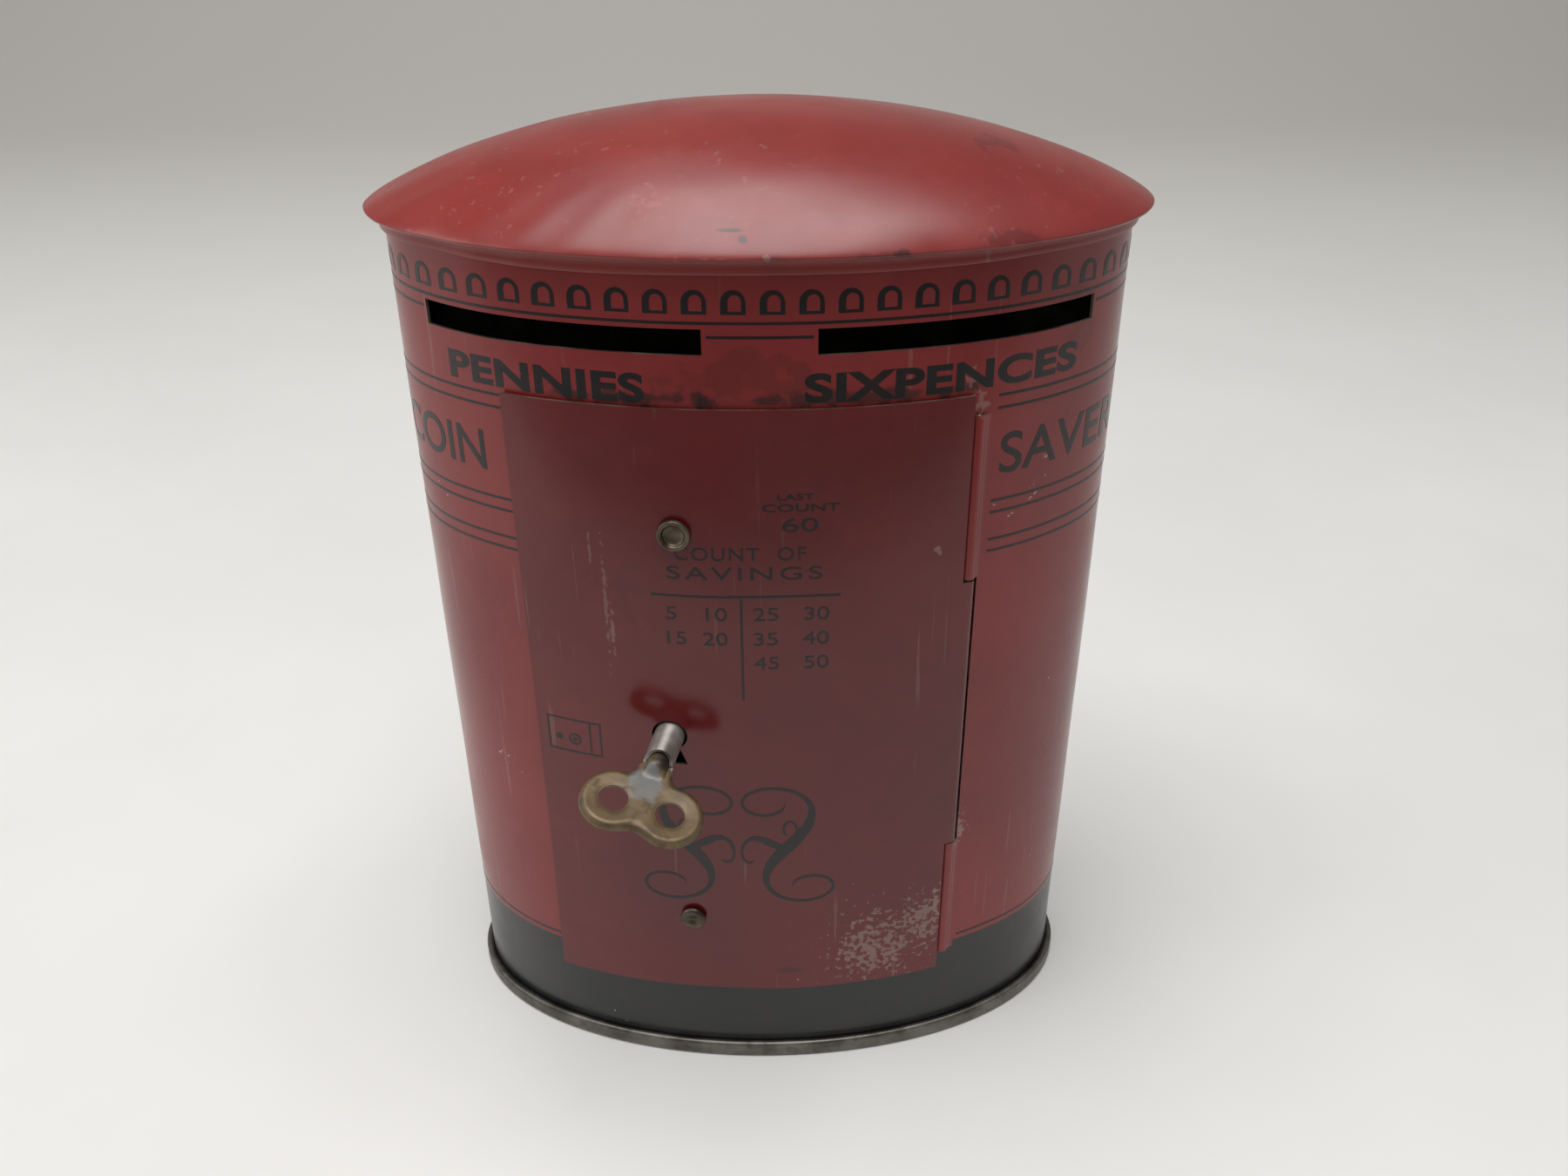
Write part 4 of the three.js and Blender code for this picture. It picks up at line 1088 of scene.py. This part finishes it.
under = face - BOW_SHEET
rolled = np.where(inside_by < BOW_SHEET, LOWEST + (inside_by / BOW_SHEET) * 0.75, under)
under = np.where((w > 7.2) & (inside_by < BOW_SHEET), np.minimum(rolled, face - 0.02), under)
under = np.where(skirted, LOWEST, under)
upper_points = turning_seat(np.stack([x, face, w], -1))
lower_points = turning_seat(np.stack([x - toward_x * tuck, under, w - toward_w * tuck], -1))
# Right, up and out are a left-handed order for (x, along, up), so the cells are turned over.
bow_patch = shell(upper_points, lower_points, cells[:, ::-1], 0, 0, 0)


# %% Worn brass
def worn_brass():
    """Brass-coloured lacquer, brown in the hollows, with one patch rubbed to grey metal and a near-black spot
    of painted shadow and grime where the neck goes into the pipe.
    """
    material, tree, shader = new_finish("worn_brass")
    shader.inputs["Metallic"].default_value = 0.3
    mottle = use(tree, CLOUD, Scale=190.0, Low=0.35, High=0.65)
    colour = mixed(tree, mottle, srgb(86, 70, 46), srgb(112, 93, 64))
    dirt = use(tree, CLOUD, Scale=520.0, Low=0.5, High=0.72)
    colour = mixed(tree, maths(tree, "MULTIPLY", dirt, 0.55), colour, srgb(58, 44, 32))
    patch_place = turning_seat(np.array([-0.85, 0.3, 10.1])) * MM
    rub_size = (0.0026, 0.004, 0.0025)
    rubbed = use(tree, SPOT, Centre=tuple(patch_place), Size=rub_size, Ragged=0.45, Grain=420.0)
    colour = mixed(tree, maths(tree, "MULTIPLY", rubbed, 0.9), colour, srgb(112, 112, 110))
    # Painted shadow, with some grime: a near-black spot in the pipe's mouth, where the bow's neck goes in.
    neck_shadow_place = turning_seat(np.array([0.6, 0.9, 5.6])) * MM
    neck_shadow_and_grime = use(tree, SPOT, Centre=tuple(neck_shadow_place), Size=(0.0022, 0.0022, 0.0022), Ragged=0.4)
    colour = mixed(tree, maths(tree, "MULTIPLY", neck_shadow_and_grime, 0.92), colour, srgb(30, 24, 20))
    tree.links.new(colour, shader.inputs["Base Color"])
    gloss = maths(tree, "ADD", maths(tree, "MULTIPLY", dirt, 0.15), 0.4)
    tree.links.new(gloss, shader.inputs["Roughness"])
    grain_bump(tree, shader, 900.0, 0.2)
    return material


fit(build("key_handle", [bow_patch], [worn_brass()], angle=50), "key", "worn_brass", "key_bow")

# %% [markdown]
# ## The print
# Lines, arches, words and figures are printed on the flat sheet before it is rolled. Each is a very thin
# closed shell that lies on the sheet, so its edge stays crisp at any distance, and it bends with the
# wall because it is placed by the same two numbers. The words are plain ones for a savings box.

# %% Lay a flat shape on a sheet
PRINT_RISE, PRINT_SINK = 0.03, 0.02


def printed(flat, cells, sheet):
    """Flat points (along, height) laid on the wall or the door as a thin closed shell."""
    along, height = flat[..., 0], flat[..., 1]
    return shell(sheet(along, height, PRINT_RISE), sheet(along, height, -PRINT_SINK), cells, 0, 0, 0)


def bar(left, right, low, high, sheet):
    """A straight rule."""
    s, z = np.meshgrid(ticks([left, right], 1.0), ticks([low, high], 2.0))
    return printed(np.stack([s, z], -1), cells_of(grid_of(s)), sheet)


def stroke(line, width, sheet):
    """A pen stroke: the line with half its width to either side."""
    ahead = np.gradient(line, axis=0)
    side = np.stack([-ahead[:, 1], ahead[:, 0]], -1) / np.linalg.norm(ahead, axis=1, keepdims=True)
    rows = np.stack([line - side * width[:, None] / 2, line, line + side * width[:, None] / 2])
    return printed(rows, cells_of(grid_of(rows)), sheet)


# %% Rules round the wall
LINE = 0.36
wall_rules = []
for height in (18.4, 90.9, 92.7, 96.9, 98.7, 112.3, 114.1):
    wall_rules.append(bar(HINGE_ALONG + 2.6, GIRTH / 2 - 3.2, height, height + LINE, on_wall))
    wall_rules.append(bar(-GIRTH / 2 + 3.2, OPEN_LEFT - 0.3, height, height + LINE, on_wall))
slot_inner, slot_outer = SLOT_MIDDLE - SLOT_LENGTH / 2, SLOT_MIDDLE + SLOT_LENGTH / 2
wall_rules.append(bar(-GIRTH / 2 + 3.2, GIRTH / 2 - 3.2, 126.0, 126.0 + LINE, on_wall))
for left, right in ((-GIRTH / 2 + 3.2, -slot_outer - 0.6), (0.6 - slot_inner, slot_inner - 0.6),
                    (slot_outer + 0.6, GIRTH / 2 - 3.2)):
    wall_rules.append(bar(left, right, 124.2, 124.2 + LINE, on_wall))
fit(build("wall_print_rules", wall_rules, [INK]), "box", "red_print")

# %% A row of arches below the lid
ARCHES = 52
PITCH = GIRTH / ARCHES
ARCH_LOW, ARCH_HALF, ARCH_TALL = 127.3, 1.55, 3.1


def arch_outline(left, right, low, high, count=9):
    """Up one side, over a half-round top and down the other, from the lower left corner."""
    middle, half = (left + right) / 2, (right - left) / 2
    angle = np.linspace(math.pi, 0, count)
    top = np.stack([middle + half * np.cos(angle), high - half + half * np.sin(angle)], -1)
    return np.concatenate([[(left, low)], top, [(right, low)]])


ring = np.stack([
    arch_outline(-ARCH_HALF, ARCH_HALF, ARCH_LOW, ARCH_LOW + ARCH_TALL),
    arch_outline(-ARCH_HALF + 0.9, ARCH_HALF - 0.55, ARCH_LOW + 0.38, ARCH_LOW + ARCH_TALL - 0.6),
])
arches = []
for number in range(ARCHES):
    shifted = ring + np.array([-3.2 + number * PITCH, 0.0])
    arches.append(printed(shifted, cells_of(grid_of(shifted), around=True)[:, ::-1], on_wall))
fit(build("wall_print_arches", arches, [INK]), "box", "red_print")


# %% Words and figures
def lettering(text, left, right, low, high, sheet, weight=0.0, spacing=1.0):
    """Text fitted to a rectangle of the sheet, cut every millimetre so that it can bend."""
    curve = bpy.data.curves.new("lettering", "FONT")
    curve.body, curve.offset, curve.space_character = text, weight, spacing
    holder = bpy.data.objects.new("lettering", curve)
    bpy.context.scene.collection.objects.link(holder)
    view = bpy.context.evaluated_depsgraph_get()
    view.update()
    mesh = bpy.data.meshes.new_from_object(holder.evaluated_get(view))
    bpy.data.objects.remove(holder)
    bpy.data.curves.remove(curve)
    work = bmesh.new()
    work.from_mesh(mesh)
    bmesh.ops.remove_doubles(work, verts=work.verts, dist=1e-5)
    across = [corner.co.x for corner in work.verts]
    for cut in ticks([min(across), max(across)], (max(across) - min(across)) / (right - left))[1:-1]:
        geometry = [*work.verts, *work.edges, *work.faces]
        bmesh.ops.bisect_plane(work, geom=geometry, plane_co=(cut, 0, 0), plane_no=(1, 0, 0))
    bmesh.ops.triangulate(work, faces=work.faces)
    work.to_mesh(mesh)
    work.free()
    points = np.empty(len(mesh.vertices) * 3)
    mesh.vertices.foreach_get("co", points)
    points = points.reshape(-1, 3)[:, :2]
    corners = np.empty(len(mesh.polygons) * 3, int)
    mesh.polygons.foreach_get("vertices", corners)
    bpy.data.meshes.remove(mesh)
    corners = corners.reshape(-1, 3)
    a, b, c = (points[corners[:, k]] for k in range(3))
    area = (b[:, 0] - a[:, 0]) * (c[:, 1] - a[:, 1]) - (b[:, 1] - a[:, 1]) * (c[:, 0] - a[:, 0])
    corners = np.where((area < 0)[:, None], corners[:, ::-1], corners)[np.abs(area) > 1e-9]
    lowest, highest = points.min(0), points.max(0)
    flat = np.array([left, low]) + (points - lowest) / (highest - lowest) * [right - left, high - low]
    return printed(flat, corners, sheet)


wall_words = [
    lettering("PENNIES", -43.4, -14.8, 115.4, 119.4, on_wall, 0.035, 1.05),
    lettering("SIXPENCES", 5.6, 44.4, 115.6, 119.6, on_wall, 0.035, 1.05),
    lettering("COIN", -57.5, -38.9, 102.7, 108.7, on_wall, 0.008),
    lettering("SAVER", 32.7, 57.5, 102.7, 108.7, on_wall, 0.008),
]
fit(build("wall_print_words", wall_words, [INK]), "box", "red_print")

# %% The door's table of savings
door_words = [
    lettering("LAST", 2.0, 6.8, 102.3, 103.2, on_door, 0.01),
    lettering("COUNT", 0.0, 10.2, 100.6, 101.7, on_door, 0.01),
    lettering("60", 2.6, 7.4, 97.6, 99.6, on_door),
    lettering("COUNT  OF", -11.8, 5.8, 93.3, 95.3, on_door, 0.0, 1.15),
    lettering("SAVINGS", -13.0, 8.0, 90.3, 92.3, on_door, 0.0, 1.2),
    lettering("5   10", -13.4, -5.0, 83.8, 85.9, on_door),
    lettering("15  20", -13.4, -5.0, 79.8, 81.9, on_door),
    lettering("25   30", -1.4, 9.0, 83.8, 85.9, on_door),
    lettering("35   40", -1.4, 9.0, 79.8, 81.9, on_door),
    lettering("45   50", -1.4, 9.0, 75.8, 77.9, on_door),
]
fit(build("door_print_words", door_words, [INK]), "door", "red_print")

# %% Rules and the small coin tablet
door_rules = [
    bar(-15.4, 10.5, 87.5, 87.5 + LINE, on_door), bar(-3.2, -3.2 + LINE, 70.6, 87.3, on_door),
]


def circle_line(middle, radius, count=40):
    angle = np.linspace(0, 2 * math.pi, count)
    return np.stack([middle[0] + radius * np.cos(angle), middle[1] + radius * np.sin(angle)], -1)


left, right, low, high = -33.0, -24.3, 58.3, 64.4
thin = 0.28
door_rules += [
    bar(left, right, low, low + thin, on_door), bar(left, right, high - thin, high, on_door),
    bar(left, left + thin, low, high, on_door), bar(right - thin, right, low, high, on_door),
    bar(right - 1.9, right - 1.9 + thin, low, high, on_door),
    stroke(circle_line((-28.6, 60.8), 0.85), np.full(40, 0.3), on_door),
    stroke(circle_line((-28.6, 60.8), 0.2), np.full(40, 0.36), on_door),
    stroke(circle_line((-31.2, 60.8), 0.3), np.full(40, 0.5), on_door),
]
fit(build("door_print_rules", door_rules, [INK]), "door", "red_print")

# %% [markdown]
# ## The scroll
# A penman's flourish fills the lower part of the door. A clothoid is the natural line for it: its bend
# grows evenly along the stroke, so that it uncurls from one volute, runs straight through the middle
# and curls into the other. Two of them, mirrored, make a lyre.

# %% Mirrored clothoids
SCROLL_MIDDLE, SCROLL_LOW, SCROLL_HIGH = -4.4, 32.2, 54.6


def clothoid(turns_lower, turns_upper, count=260):
    """Heading = pi x distance squared, so the bend grows evenly and turns over in the middle."""
    u = np.linspace(-math.sqrt(turns_lower), math.sqrt(turns_upper), count)
    heading = math.pi * u**2
    steps = np.stack([np.cos(heading), np.sin(heading)], -1)
    line = np.cumsum(steps * (u[1] - u[0]), axis=0)
    return line - line[np.argmin(np.abs(u))], u


def placed_stroke(line, u, lean, low, high, thick, fine, side):
    """The clothoid leaned and stretched to its corners, thick in its straight run, fine in its curls."""
    turn = math.radians(lean)
    spin = np.array([[math.cos(turn), math.sin(turn)], [-math.sin(turn), math.cos(turn)]])
    points = line @ spin
    lowest, highest = points.min(0), points.max(0)
    points = low + (points - lowest) / (highest - lowest) * (np.array(high) - low)
    points[:, 0] = SCROLL_MIDDLE + side * points[:, 0]
    width = fine + (thick - fine) * np.exp(-((u / 0.42) ** 2))
    width *= np.clip(np.minimum(np.arange(len(u)), np.arange(len(u))[::-1]) / 8, 0.25, 1)
    return stroke(points if side > 0 else points[::-1], width if side > 0 else width[::-1], on_door)


main_line, main_u = clothoid(2.2, 2.2)
small_line, small_u = clothoid(1.4, 2.0)
scroll = []
for side in (-1, 1):
    corners = ((0.8, SCROLL_LOW), (14.6, SCROLL_HIGH))
    scroll.append(placed_stroke(main_line, main_u, 60, *corners, 2.0, 0.45, side))
    corners = ((0.6, SCROLL_LOW + 8.0), (9.0, SCROLL_HIGH - 6.4))
    scroll.append(placed_stroke(small_line, small_u, -20, *corners, 1.3, 0.4, side))
fit(build("door_print_scroll", scroll, [INK]), "door", "red_print")

# %% [markdown]
# ## Studio
# The box stands on a pale sweep that curves up behind it. A broad soft light hangs overhead, a little
# to the front, and a second one fills from the left. The sweep carries painted shade: it turns grey in
# front of the box, where the glossy door mirrors it, and a little greyer behind, where it turns up into the
# backdrop.

# %% The sweep
SWEEP_WIDTH, SWEEP_BACK, BEND = 3000.0, 700.0, 500.0
run = np.concatenate([
    np.stack([np.linspace(-1500, SWEEP_BACK, 24), np.full(24, FLOOR)], -1),
    np.array([(SWEEP_BACK + BEND * math.sin(a), FLOOR + BEND - BEND * math.cos(a))
              for a in np.linspace(0, math.pi / 2, 24)[1:]]),
    np.array([(SWEEP_BACK + BEND, FLOOR + 3000.0)]),
])
wide = np.linspace(-SWEEP_WIDTH, SWEEP_WIDTH, 9)
points = np.stack([
    np.broadcast_to(wide, (len(run), 9)), run[:, :1].repeat(9, 1), run[:, 1:].repeat(9, 1),
], -1)
floor_finish, tree, shader = new_finish("pale_sweep")
place = tree.nodes.new("ShaderNodeTexCoord").outputs["Object"]
forward = put(tree, "SeparateXYZ", {0: place}).outputs["Y"]
paper = use(tree, CLOUD, Scale=9.0, Low=0.2, High=0.8)
pale = mixed(tree, paper, srgb(224, 223, 220), srgb(230, 229, 226))
# Painted shade: the sweep greys from 150 mm behind the box towards the backdrop, where less light falls.
far = between(tree, forward, 0.15, 0.9)
pale = mixed(tree, far, pale, srgb(206, 203, 198))
# Painted shade: the sweep turns mid-grey from 235 mm in front of the box, and the glossy door mirrors it as
# its dark upper part.
near = between(tree, forward, -0.235, -0.16)
tree.links.new(mixed(tree, near, srgb(128, 127, 125), pale), shader.inputs["Base Color"])
shader.inputs["Roughness"].default_value = 0.6
sweep = build("sweep", [(points.reshape(-1, 3), [(cells_of(grid_of(points)), 0)])], [floor_finish])


# %% Lights
def soft_light(name, place, aim, size, power, colour=(1.0, 1.0, 1.0)):
    """A square soft light at a place, in metres, that faces its aim."""
    light = bpy.data.lights.new(name, "AREA")
    light.shape, light.size, light.energy, light.color = "SQUARE", size, power, colour
    lamp = bpy.data.objects.new(name, light)
    bpy.context.scene.collection.objects.link(lamp)
    direction = np.array(aim) - np.array(place)
    lamp.rotation_euler = Vector(direction).to_track_quat("-Z", "Y").to_euler()
    lamp.location = place


soft_light("overhead", (-0.05, -0.12, 1.0), (0.0, 0.0, 0.08), 0.7, 8.8)
soft_light("left_fill", (-0.9, -0.15, 0.5), (0.0, 0.0, 0.07), 0.6, 2.4)
world = bpy.data.worlds.new("studio")
bpy.context.scene.world = world
world.use_nodes = True
world.node_tree.nodes["Background"].inputs["Color"].default_value = (0.74, 0.735, 0.72, 1)
world.node_tree.nodes["Background"].inputs["Strength"].default_value = 0.4

# %% Camera
camera = bpy.data.objects.new("camera", bpy.data.cameras.new("camera"))
bpy.context.scene.collection.objects.link(camera)
camera.data.sensor_width, camera.data.lens = 36.0, 31.116
camera.data.clip_start = 0.01
look_down = Matrix.Rotation(math.radians(90 - 30.29), 4, "X")
heading, level = (Matrix.Rotation(math.radians(angle), 4, "Z") for angle in (-0.42, -0.32))
camera.matrix_world = Matrix.Translation((0.001667, -0.186526, 0.181885)) @ heading @ look_down @ level
bpy.context.scene.camera = camera
bpy.context.scene.view_settings.view_transform = "Standard"
